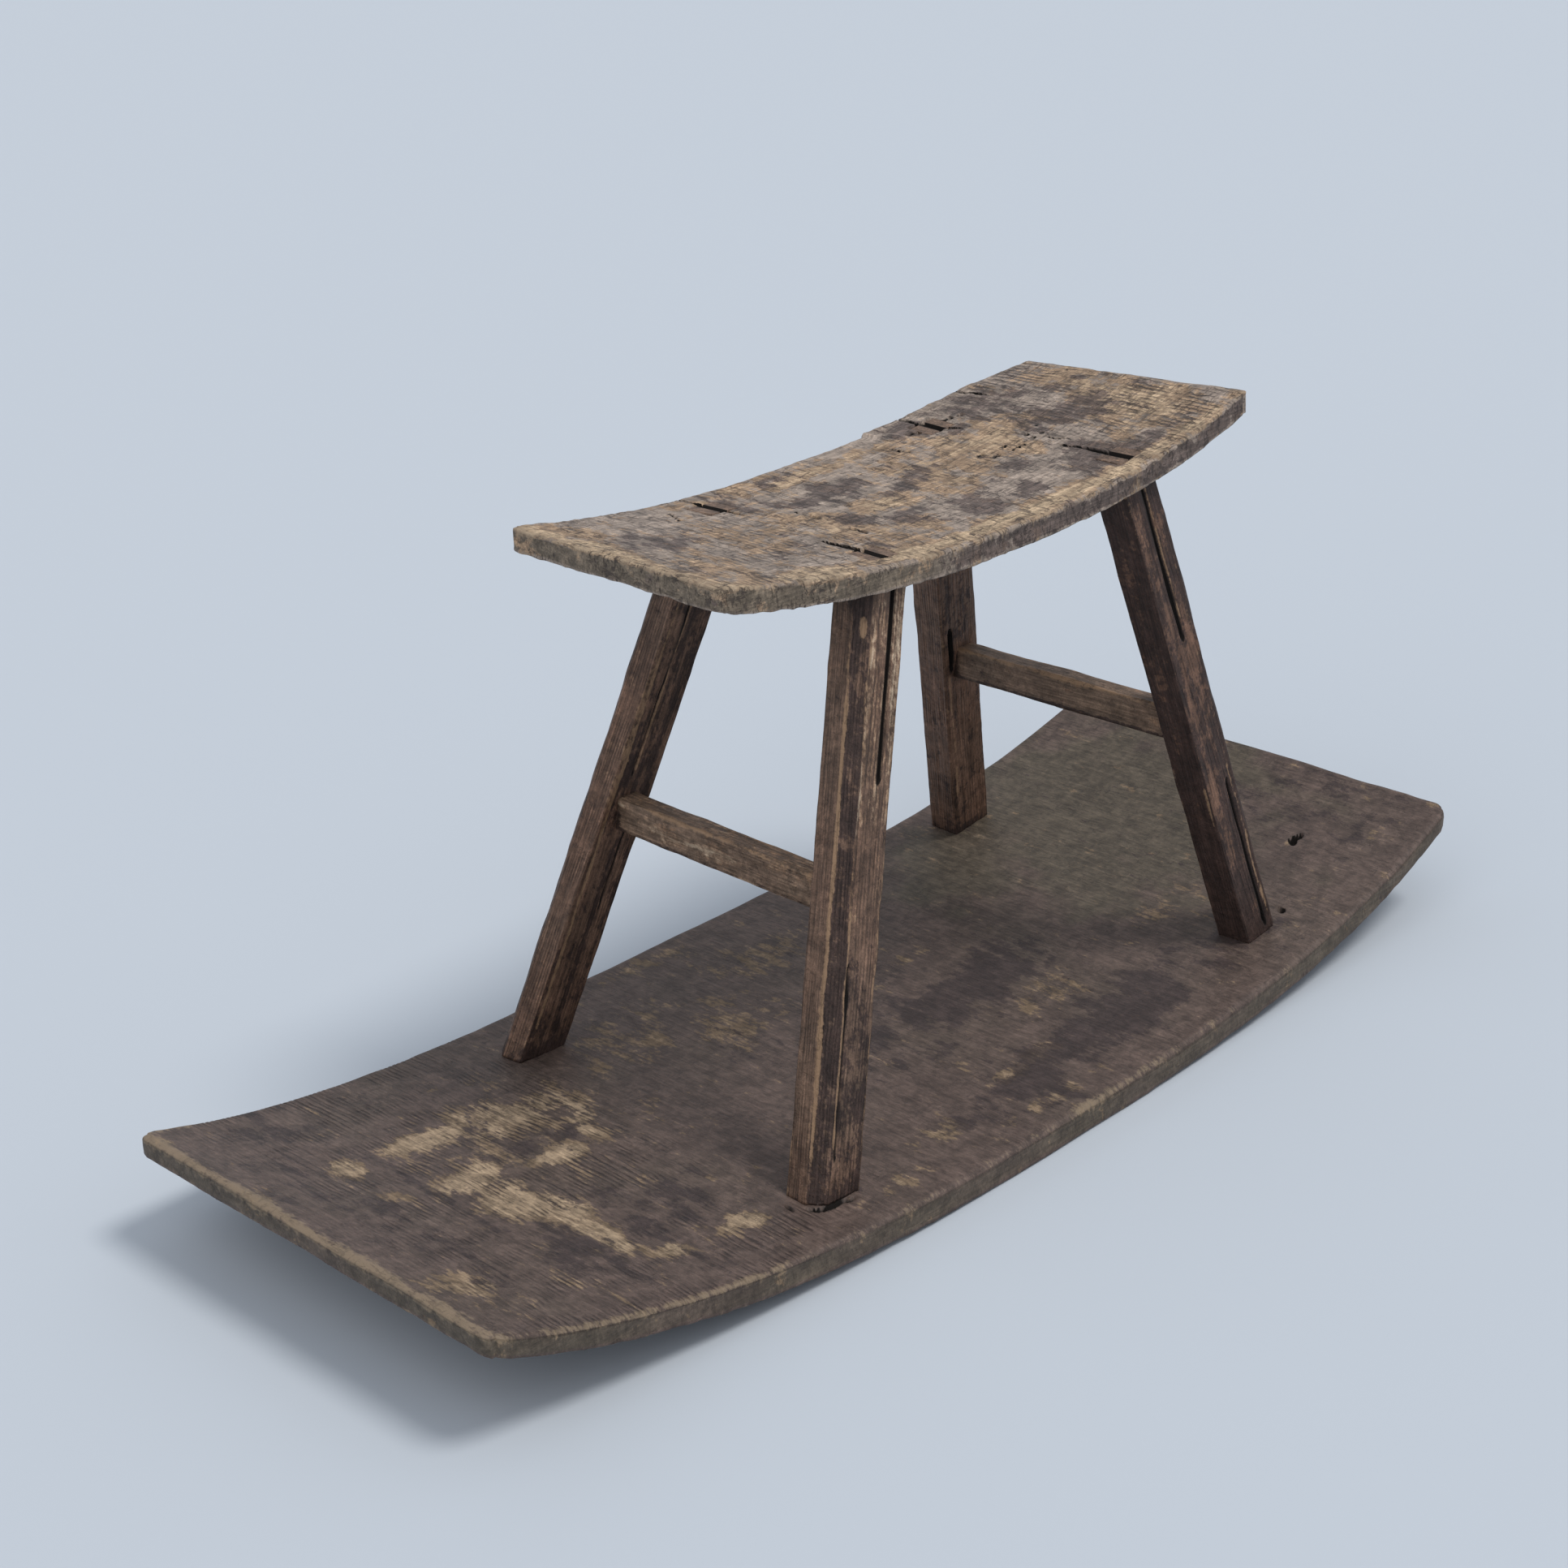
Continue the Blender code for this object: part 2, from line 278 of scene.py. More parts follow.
def plan_corners(plank, points):
    """Rounds the plank's four corners as seen from above, by pulling them onto an arc."""
    half = np.array([plank["length"] / 2, plank["width"] / 2])
    radius = plank["corner"]
    inner = np.clip(points[:, :2], -(half - radius), half - radius)
    out = points[:, :2] - inner
    square = np.abs(out).max(axis=1)
    length = np.hypot(*out.T)
    both = (np.abs(out) > 1e-9).all(axis=1)
    pulled = inner + out * (square / np.maximum(length, 1e-9))[:, None]
    moved = points.copy()
    moved[both, :2] = pulled[both]
    return moved


def make_plank(plank, fine_lines, shape):
    """Brick, rounded arrises, rounded plan, bend; then shape() moves points and returns the masks."""
    half = np.array([plank["length"], plank["width"], plank["thickness"]]) / 2
    xs, ys = (lines(half[i], 6 * MM, plank["step"][i], fine_lines[i]) for i in (0, 1))
    zs = lines(half[2], half[2] * 0.45, half[2] * 0.3)
    points, quads = brick(xs, ys, zs)
    radius = np.where(points[:, 2] > 0, *plank["arris"]) * (1 + 0.35 * fractal(points, 0.05, 21))
    radius = np.clip(radius, 0.6 * MM, half[2] * 0.95)
    rounded = round_arrises(points, half, radius)
    rounded = plan_corners(plank, rounded)
    placed = bent_to_shape(plank, rounded)
    moved, masks = shape(placed, points, rounded)
    return make_piece(plank["node"] + "_worn", moved, quads, masks)


def faces_of(plank, flat, lip):
    """How far each point of the flat brick is on its top, its underside and its sides, 0 to 1 each."""
    top = smooth(0.0, 4 * MM, flat[:, 2] - plank["thickness"] / 2 + lip)
    bottom = smooth(0.0, 4 * MM, -flat[:, 2] - plank["thickness"] / 2 + lip)
    return top, bottom, 1 - np.clip(top + bottom, 0, 1)


def end_of(plank, flat):
    """-1 on the left end face, 1 on the right one and 0 elsewhere."""
    return (np.abs(flat[:, 0]) > plank["length"] / 2 - 1e-6) * np.sign(flat[:, 0])


def plank_layer(placed, top, seed, side_size, side_seed):
    """Growth layers: crosswise lines where the hollowed top cuts them, near level on the other faces."""
    level = 2.5 * placed[:, 2] + 4 * MM * noise(placed, side_size, side_seed)
    return np.where(top > 0.5, line_place(placed, seed), level)


def edge_wear(points, plank, reach):
    """1 on the plank's upper arrises, falling to 0 within reach of them; the lower arrises wear less."""
    half = np.array([plank["length"], plank["width"]]) / 2
    inwards = np.maximum((half - np.abs(points[:, :2])).min(axis=1), 0)
    down = plank["thickness"] / 2 - points[:, 2]
    up = plank["thickness"] - down
    top = np.clip(1 - np.hypot(inwards, np.maximum(down, 0)) / reach, 0, 1)
    low = np.clip(1 - np.hypot(inwards, np.maximum(up, 0)) / (0.6 * reach), 0, 1)
    return np.maximum(top, 0.5 * low)


def mortise(points, leg, end, gap=0.7 * MM):
    """1 inside the rectangle where a leg's tenon passes the plank's face, 0 outside, with ragged sides."""
    origin, turn = leg["frame"]
    local = ((points - origin) @ turn)[:, :2]
    ragged = 0.5 * MM * noise(points, 0.004, 61)
    inside = ((TENON_WIDTH / 2 + gap, TENON_DEPTH / 2 + gap) - np.abs(local)).min(axis=1)
    near = np.abs(points[:, 2] - leg[end][2]) < 0.012
    return smooth(-0.5 * MM, 0.5 * MM, inside + ragged) * near


# ---- legs: their places ----


def find_leg(name):
    """The leg's two ends on the planks' upsides, and its local frame: X and Y across it, Z up along it."""
    outer = np.array((1 if "right" in name else -1, 1 if "back" in name else -1))
    top_shift, foot_shift = (np.array(shift) for shift in LEG_SHIFTS[name])
    top = BENCH_PLACE + LEG_TOP * outer + top_shift
    foot = BENCH_PLACE + LEG_FOOT * outer + foot_shift
    top = np.array((*top, upside(SEAT, top[0] - SEAT["place"][0])))
    foot = np.array((*foot, upside(BOARD, foot[0] - BOARD["place"][0])))
    z = (top - foot) / np.linalg.norm(top - foot)
    y = np.cross(z, (1.0, 0.0, 0.0))
    y /= np.linalg.norm(y)
    turn = np.stack([np.cross(y, z), y, z], axis=1)
    under = foot - z * (foot[2] - underside(BOARD, foot[0])) / z[2]
    return dict(outer=outer, top=top, foot=foot, under=under, frame=(foot, turn))


LEGS = {name: find_leg(name) for name in LEG_SHIFTS}


def near_lines(centre, reach, step):
    return np.arange(centre - reach, centre + reach, step)


# ---- the rocker board ----

# Bare tan patches, where feet have rubbed the patina away, as the shapes that blots() takes
BOARD_BARE = [
    (-452, 85, 15, 24, 0, 0.95), (-368, 94, 34, 14, 0, 1.15), (-287, 85, 48, 34, 0, 0.86),
    (-258, 38, 12, 34, -15, 1.0), (-392, 16, 36, 18, 20, 1.1), (-380, -34, 30, 44, 20, 1.1),
    (-362, -62, 16, 20, 0, 1.0), (-308, 10, 30, 13, 0, 1.15), (-370, -105, 12, 34, 0, 1.0),
    (-345, -155, 14, 12, 0, 0.95), (-285, -157, 22, 13, 0, 1.05), (-508, -127, 24, 26, 0, 0.72),
    (-430, -160, 12, 34, 0, 0.5), (-455, 20, 12, 10, 0, 0.66), (-60, 85, 40, 46, 0, 0.46),
    (-300, 60, 80, 70, 0, 0.46), (-380, -60, 60, 80, 0, 0.36), (-45, 212, 45, 12, 0, 0.62),
    (-140, 130, 50, 40, 0, 0.44), (-155, -200, 34, 12, 0, 0.55), (-85, -172, 26, 12, 0, 0.52),
    (150, -92, 36, 20, 5, 0.5), (35, -155, 46, 10, 4, 0.72), (110, 40, 30, 6, 0, 0.55),
    (300, -85, 36, 18, 0, 0.42), (20, -205, 60, 9, 0, 0.6), (40, 150, 50, 30, 0, 0.4),
]
# Deep purple-brown patina
BOARD_DARK = [
    (-298, -105, 48, 42, 0, 0.62), (-492, 30, 30, 140, 0, 0.42), (500, -100, 50, 80, 0, 0.5),
    (-405, -130, 30, 44, 0, 0.75), (-455, 165, 40, 34, 0, 0.6), (-424, 60, 7, 120, 0, 0.6),
    (-334, -130, 12, 90, 0, 0.7), (-310, 38, 40, 10, 0, 0.6), (-20, -20, 80, 80, 0, 0.45),
    (105, -35, 80, 40, 0, 0.85), (120, -166, 150, 34, 3, 0.95), (60, 10, 50, 60, 0, 0.5),
]
# Olive-grey, dusty ends
BOARD_DUSTY = [(420, 60, 110, 130, 0, 1.0), (280, 120, 80, 60, 0, 0.8)]
# How worn the front upper arris is along the board: (x, wear)
BOARD_FRONT_WEAR = [
    (-0.55, 0.35), (-0.46, 0.8), (-0.35, 1.0), (-0.30, 0.4), (-0.02, 0.35), (0.02, 0.85), (0.09, 0.9),
    (0.13, 0.35), (0.30, 0.45), (0.34, 0.1), (0.55, 0.05),
]


def score_board(placed, flat, rounded):
    """Wears, scores and pierces the bent board; returns its moved points and its masks."""
    x = placed[:, 0]
    top, bottom, side = faces_of(BOARD, flat, 6 * MM)

    # Feet and hands have hollowed the top a little, and the adze left shallow strokes under it
    moved = placed.copy()
    moved[:, 2] += 0.7 * MM * top * fractal(placed, (0.12, 0.09, 0.1), 31)
    scored = top * smooth(-0.215, -0.245, x) * smooth(-0.535, -0.49, x)
    across = cross_lines(placed, BOARD["line_spacing"], 32)
    broken = smooth(-0.35, 0.35, fractal(placed, (0.05, 0.016, 0.1), 37))
    moved[:, 2] -= 0.5 * MM * scored * broken * across**2
    away_from_rest = smooth(0.06, 0.10, np.abs(x))
    moved[:, 2] += 1.2 * MM * bottom * away_from_rest * np.abs(fractal(placed, (0.02, 0.035, 0.05), 33))
    outwards = np.sign(flat[:, 1]) * side
    moved[:, 1] += 1.1 * MM * outwards * fractal(placed, (0.07, 0.07, 0.012), 34)
    ragged = 0.9 * fractal(placed, (0.03, 0.05, 0.012), 35)
    moved[:, 0] += MM * end_of(BOARD, flat) * (ragged + 3.0 * (x < 0))

    # Chips along the arrises
    front = rounded[:, 1] < -BOARD["width"] / 2 + 0.02
    front &= np.abs(rounded[:, 0]) < BOARD["length"] / 2 - 0.012
    along_front = np.interp(x, *np.array(BOARD_FRONT_WEAR).T)
    strength = np.where(front, along_front, np.where(x < -0.5, 0.95, np.where(x > 0.5, 0.15, 0.1)))
    wear = edge_wear(rounded, BOARD, np.where(x < -0.5, 0.012, 0.0085)) * strength
    chips = smooth(0.35, 0.8, fractal(placed, (0.03, 0.03, 0.01), 36)) * smooth(0.45, 1.0, wear)
    moved[:, 2] -= 1.2 * MM * chips * top

    # Cracks and gaps in the top: cut in, and painted black as shade
    holes = np.maximum.reduce([
        gash(placed, [(450, -125), (456, -119), (467, -123)], 9.5, 41),
        gash(placed, [(362, -176), (370, -168)], 8, 42),
        gash(placed, [(-234, -176), (-230, -184), (-221, -187.5), (-200, -187.5)], 7, 43, 0.3),
        0.7 * gash(placed, [(-243, -160), (-240, -172)], 4, 44),
        0.7 * gash(placed, [(-203, -192), (-195, -190)], 3.5, 45),
    ]) * top
    moved[:, 2] -= 10.0 * MM * hollowed(holes)

    # Painted shade: the top darkens within 12 mm around each foot, where the leg meets the board
    foot_shade = np.zeros(len(placed))
    for leg in LEGS.values():
        origin, turn = leg["frame"]
        local = ((placed - origin) @ turn)[:, :2]
        away = np.maximum(np.abs(local) - (LEG_WIDTH / 2, LEG_DEPTH / 2), 0)
        foot_shade = np.maximum(foot_shade, top * smooth(0.012, 0.0, np.hypot(*away.T)))
        pocket = mortise(placed, leg, "under") * bottom
        moved[:, 2] += POCKET * pocket
        # The mortise's ragged rim is painted dark as well: painted shade in the gap round the tenon
        holes = np.maximum(holes, 0.9 * pocket * (pocket < 0.97))

    crosswise = np.stack([placed[:, 1], placed[:, 0], placed[:, 2]], axis=1)
    masks = dict(
        grain=np.where((top > 0.5)[:, None], crosswise, placed),
        layer=plank_layer(placed, top, 32, 0.09, 38),
        bare=blots(placed, BOARD_BARE, 0.45, 51) * top,
        # dark holds the deep patina and, around the feet, painted shade
        dark=np.maximum(blots(placed, BOARD_DARK, 0.5, 52) * top, 0.5 * foot_shade),
        dusty=np.maximum(blots(placed, BOARD_DUSTY, 0.5, 53) * top, 0.5 * side),
        wear=np.clip(wear + 0.4 * chips, 0, 1),
        # crack is painted shade: black in the cracks, the gaps and the mortise rims
        crack=crack_shade(holes),
        scored=scored * (0.15 + 0.85 * broken),
    )
    return moved, masks


def make_board():
    extra_x = [near_lines(0.458, 0.012, 1.3 * MM), near_lines(0.366, 0.008, 1.3 * MM)]
    extra_x += [near_lines(-0.225, 0.016, 1.6 * MM), near_lines(-0.375, 0.115, 1.5 * MM)]
    extra_y = [near_lines(-0.110, 0.010, 1.6 * MM), near_lines(-0.174, 0.020, 1.6 * MM)]
    for leg in LEGS.values():
        extra_x.append(leg["under"][0] + np.array((-1, 1)) * TENON_WIDTH / 2)
    return make_plank(BOARD, (extra_x, extra_y), score_board)


# ---- the seat ----

SEAT_BARE = [
    (200, 12, 60, 36, 0, 0.8), (130, 20, 50, 40, 0, 0.62), (50, -15, 34, 20, 10, 0.85),
    (-10, -75, 50, 30, 0, 0.55), (80, 84, 100, 12, 0, 0.8), (60, -117, 320, 11, 0, 1.05),
    (-216, 0, 14, 140, 0, 1.05), (-120, -110, 100, 12, 0, 0.9), (-30, -10, 24, 70, 0, 0.6),
    (120, -30, 40, 26, 0, 0.7), (325, -40, 32, 70, 0, 0.85), (300, -75, 50, 16, 0, 0.75),
    (-190, 75, 30, 30, 0, 0.55), (-185, -60, 36, 50, 0, 0.5), (-100, 0, 30, 50, 0, 0.45),
    (340, 40, 20, 50, 0, 0.65), (5, 98, 80, 12, 0, 0.6),
]
SEAT_DARK = [
    (-155, 25, 40, 34, 25, 0.7), (-110, -45, 46, 20, 0, 0.4), (40, 37, 42, 20, 0, 1.0),
    (-8, 45, 12, 20, 0, 0.8), (102, 6, 42, 12, 18, 0.85), (0, -28, 20, 16, 0, 0.8),
    (40, -48, 22, 14, 0, 0.95), (78, -82, 22, 14, 0, 1.05), (140, -86, 18, 13, 15, 1.05),
    (90, -58, 18, 10, 0, 0.75), (174, -38, 18, 12, 0, 0.85), (145, -50, 30, 8, 10, 0.55),
    (195, -94, 16, 13, 0, 0.95), (228, -72, 24, 30, 0, 1.05), (186, 88, 22, 18, 0, 1.0),
    (215, 56, 16, 13, 0, 0.95), (262, 70, 42, 34, 0, 0.62), (284, -10, 32, 34, 0, 0.95),
    (320, 34, 34, 14, 0, 0.6), (278, -100, 30, 10, 0, 0.85), (354, -25, 8, 12, 0, 0.85),
    (33, 95, 16, 12, 0, 0.8), (-34, 75, 12, 30, 0, 0.75), (-38, -90, 10, 14, 0, 0.6),
    (335, 92, 24, 14, 0, 0.5),
]
SEAT_GASHES = [
    ([(-52, 118), (-51, 85), (-47.5, 44)], 6.8, 1.0),
    ([(-60, -48), (-57.5, -75), (-56, -106)], 7.2, 1.0), ([(209, 118), (207, 85), (216, 55)], 6.4, 1.0),
    ([(180, 82), (202, 78), (214, 81), (244, 75)], 4.6, 0.9),
    ([(227, -42), (231, -70), (230, -102)], 6.2, 1.0), ([(279, 114), (283, 92), (286, 78)], 3.8, 0.8),
    ([(148, 73), (153, 53)], 3.4, 0.6), ([(233, -22), (240, -42)], 3.4, 0.6),
    ([(-86, 90), (-98, 60)], 3, 0.6), ([(165, 1), (220, -6), (256, 4)], 2, 0.45),
    ([(150, -8), (210, -16), (248, -10)], 1.8, 0.4), ([(-16, 22), (-17, -10)], 2.4, 0.55),
    ([(-18, -35), (-19, -60)], 2, 0.45), ([(22, 4), (24, -30)], 2.2, 0.5),
]


def seat_back_edge(x):
    """How far the back side stands out from its full line: proud for one stretch, broken away right of it."""
    proud = 7.0 * MM * smooth(0.158, 0.168, x) * smooth(0.302, 0.297, x)
    right_of = smooth(0.297, 0.302, x) * np.interp(x, (0.30, 0.365), (4.5 * MM, -2.0 * MM))
    nick = 1.5 * MM * (smooth(0.008, 0.0, np.abs(x - 0.214)) + smooth(0.006, 0.0, np.abs(x - 0.262)))
    return proud + right_of - nick


def score_seat(placed, flat, rounded):
    """Wears, scores and splits the bent seat; returns its moved points and its masks."""
    x, y = placed[:, 0], placed[:, 1]
    top, bottom, side = faces_of(SEAT, flat, 5 * MM)

    moved = placed.copy()
    back = smooth(0.070, SEAT["width"] / 2, flat[:, 1])
    moved[:, 1] += back * seat_back_edge(x)
    moved[:, 2] += 0.9 * MM * top * fractal(placed, (0.07, 0.06, 0.1), 71)
    moved[:, 2] += 0.45 * MM * top * fractal(placed, (0.006, 0.013, 0.1), 72)
    scored = top * np.maximum(smooth(0.225, 0.265, x), 0.6 * smooth(-0.02, -0.08, x))
    across = cross_lines(placed, SEAT["line_spacing"], 79)
    broken = smooth(-0.30, 0.45, fractal(placed, (0.03, 0.014, 0.1), 69))
    moved[:, 2] -= 0.3 * MM * scored * broken * across**2
    moved[:, 2] += 1.4 * MM * bottom * np.abs(fractal(placed, (0.016, 0.03, 0.05), 73))
    outwards = np.sign(flat[:, 1]) * side
    nibbled = fractal(placed, (0.05, 0.07, 0.012), 74) - np.abs(fractal(placed, (0.006, 0.07, 0.012), 75))
    moved[:, 1] += 0.7 * MM * outwards * nibbled
    end = end_of(SEAT, flat)
    moved[:, 0] += MM * end * (0.6 * fractal(placed, (0.02, 0.012, 0.008), 76) + 2.5 * (x < 0))
    moved[:, 0] += 4.5 * MM * (end > 0) * smooth(0.04, -0.11, y)

    strength = np.where(x < -0.19, 0.7, np.where(y < 0, 0.5, 0.45))
    wear = edge_wear(rounded, SEAT, 0.010) * strength
    chips = smooth(0.30, 0.8, fractal(placed, (0.018, 0.018, 0.01), 77)) * smooth(0.4, 1.0, wear)
    moved[:, 2] -= 0.9 * MM * chips * top
    torn = smooth(0.012, 0.0, np.abs(y - 0.104)) * smooth(0.165, 0.172, x) * smooth(0.300, 0.294, x) * top
    moved[:, 2] -= 0.8 * MM * torn * (1 + fractal(placed, (0.012, 0.01, 0.01), 78))

    # Cracks: cut in, and painted black as shade
    cracks = np.zeros(len(placed))
    for i, (line, width, depth) in enumerate(SEAT_GASHES):
        cracks = np.maximum(cracks, depth * gash(placed, line, width, 80 + 2 * i, 1.2))
    cracks *= top
    for leg in LEGS.values():
        pocket = mortise(placed, leg, "top", 0.3 * MM) * top
        moved[:, 2] -= POCKET * pocket
        cracks = np.where(pocket > 0.5, 0.0, cracks)
        # Painted shade, fainter, in the gap round each tenon's top
        cracks = np.maximum(cracks, 0.3 * pocket * (pocket < 0.97))
    moved[:, 2] -= 9.0 * MM * hollowed(cracks)

    # Painted shade: the seat's side faces are darkened from about the middle to the right end, though not on
    # the right end face
    shaded_sides = side * smooth(-0.08, 0.1, x) * (x < 0.36)
    masks = dict(
        grain=placed,
        layer=plank_layer(placed, top, 79, 0.06, 68),
        bare=blots(placed, SEAT_BARE, 0.5, 91) * top,
        # dark holds the deep patina and the painted shade on the sides
        dark=np.maximum(blots(placed, SEAT_DARK, 0.5, 92) * top, shaded_sides),
        dusty=0.9 * side * smooth(0.05, -0.12, x),
        wear=np.clip(wear + 0.4 * chips, 0, 1),
        # crack is painted shade: black in the cracks and round the tenons
        crack=crack_shade(cracks),
        scored=scored * (0.3 + 0.7 * broken),
    )
    return moved, masks


def make_seat():
    extra_x = [near_lines(-0.054, 0.009, 0.8 * MM), near_lines(0.212, 0.009, 0.8 * MM)]
    extra_x += [near_lines(0.231, 0.008, 0.8 * MM), near_lines(0.283, 0.005, 1.0 * MM)]
    extra_y = [near_lines(0.070, 0.008, 0.9 * MM)]
    for leg in LEGS.values():
        for side in (-1, 1):
            x, y = leg["top"][:2] + side * np.array((TENON_WIDTH, TENON_DEPTH)) / 2
            extra_x.append(near_lines(x, 1.6 * MM, 0.8 * MM))
            extra_y.append(near_lines(y - SEAT["place"][1], 1.6 * MM, 0.8 * MM))
    extra_x = [found - SEAT["place"][0] for found in extra_x]
    return make_plank(SEAT, (extra_x, extra_y), score_seat)


# ---- legs and stretchers ----

# Long cracks in the legs' front faces: (mm across the face, from, to, mm wide, depth); heights run from 0 at
# the foot to 1 at the seat
LEG_CRACKS = {
    "front_left": [(8.5, 0.67, 1.02, 6.4, 1.0), (-7.5, 0.06, 0.40, 2.4, 0.8)],
    "front_right": [(-1.0, 0.66, 1.02, 6.0, 1.0), (4.5, 0.01, 0.36, 5.4, 1.0)],
    "back_left": [(-8.0, 0.55, 0.98, 2.2, 0.8), (5.0, 0.10, 0.50, 1.8, 0.6)],
    "back_right": [(-12.5, 0.45, 0.57, 7.0, 1.0)],
}
# Each leg's tone: how dark, how dusty and how light its faces are, its front face low and high, and how worn
# its arrises are and how dark its tenon
LEG_TONES = {
    "front_left": dict(
        dark=0.1, front_dark=(0.4, 0.0), dusty=0.35, light=0.05, front_light=0.7, wear=0.6, tenon=0.1
    ),
    "front_right": dict(
        dark=1.0, front_dark=(-0.2, -0.28), dusty=0.0, light=-0.2, front_light=0.12, wear=0.4, tenon=0.4
    ),
    "back_left": dict(
        dark=0.1, front_dark=(0.45, 0.5), dusty=0.2, light=0.25, front_light=0.05, wear=0.6, tenon=0.2
    ),
    "back_right": dict(
        dark=0.3, front_dark=(0.15, 0.2), dusty=0.2, light=0.15, front_light=0.05, wear=0.4, tenon=0.3
    ),
}
# Two legs are wider than the others on their outer face: (which way along X, by how much)
LEG_WIDER = {"back_left": (-1, 4.5 * MM), "front_right": (1, 4.0 * MM)}
# Pale streaks along the legs: (mm along x and y in the leg's section, mm radius, from, to, strength)
LEG_STREAKS = {
    "front_left": [
        (-22, -6, 2.6, 0.02, 0.84, 1.0), (-10, -16, 1.4, 0.08, 0.46, 0.9),
        (-16, -12, 4.0, 0.91, 0.965, 0.9), (20, -16, 1.6, 0.05, 0.95, 0.5),
    ],
    "front_right": [
        (-21, -13, 2.2, 0.26, 0.37, 1.1), (10, -16, 1.2, 0.02, 0.40, 0.8), (2, -16, 1.4, 0.70, 1.0, 0.7),
    ],
    "back_left": [(-21, -15, 3.0, 0.05, 0.95, 0.8), (-6, -16, 1.4, 0.55, 0.96, 0.7)],
    "back_right": [(-16, -16, 2.0, 0.10, 0.46, 0.6)],
}


def along_leg_to(leg, points, face, plank):
    """How far along the leg each local (x, y) must go to meet a plank's face; a few fixed-point steps."""
    origin, turn = leg["frame"]
    base = origin + points[:, :1] * turn[:, 0] + points[:, 1:2] * turn[:, 1]
    t = np.zeros(len(points))
    for _ in range(12):
        x = base[:, 0] + t * turn[0, 2]
        t = t + (face(plank, x - plank["place"][0]) - (base[:, 2] + t * turn[2, 2])) / turn[2, 2]
    return t


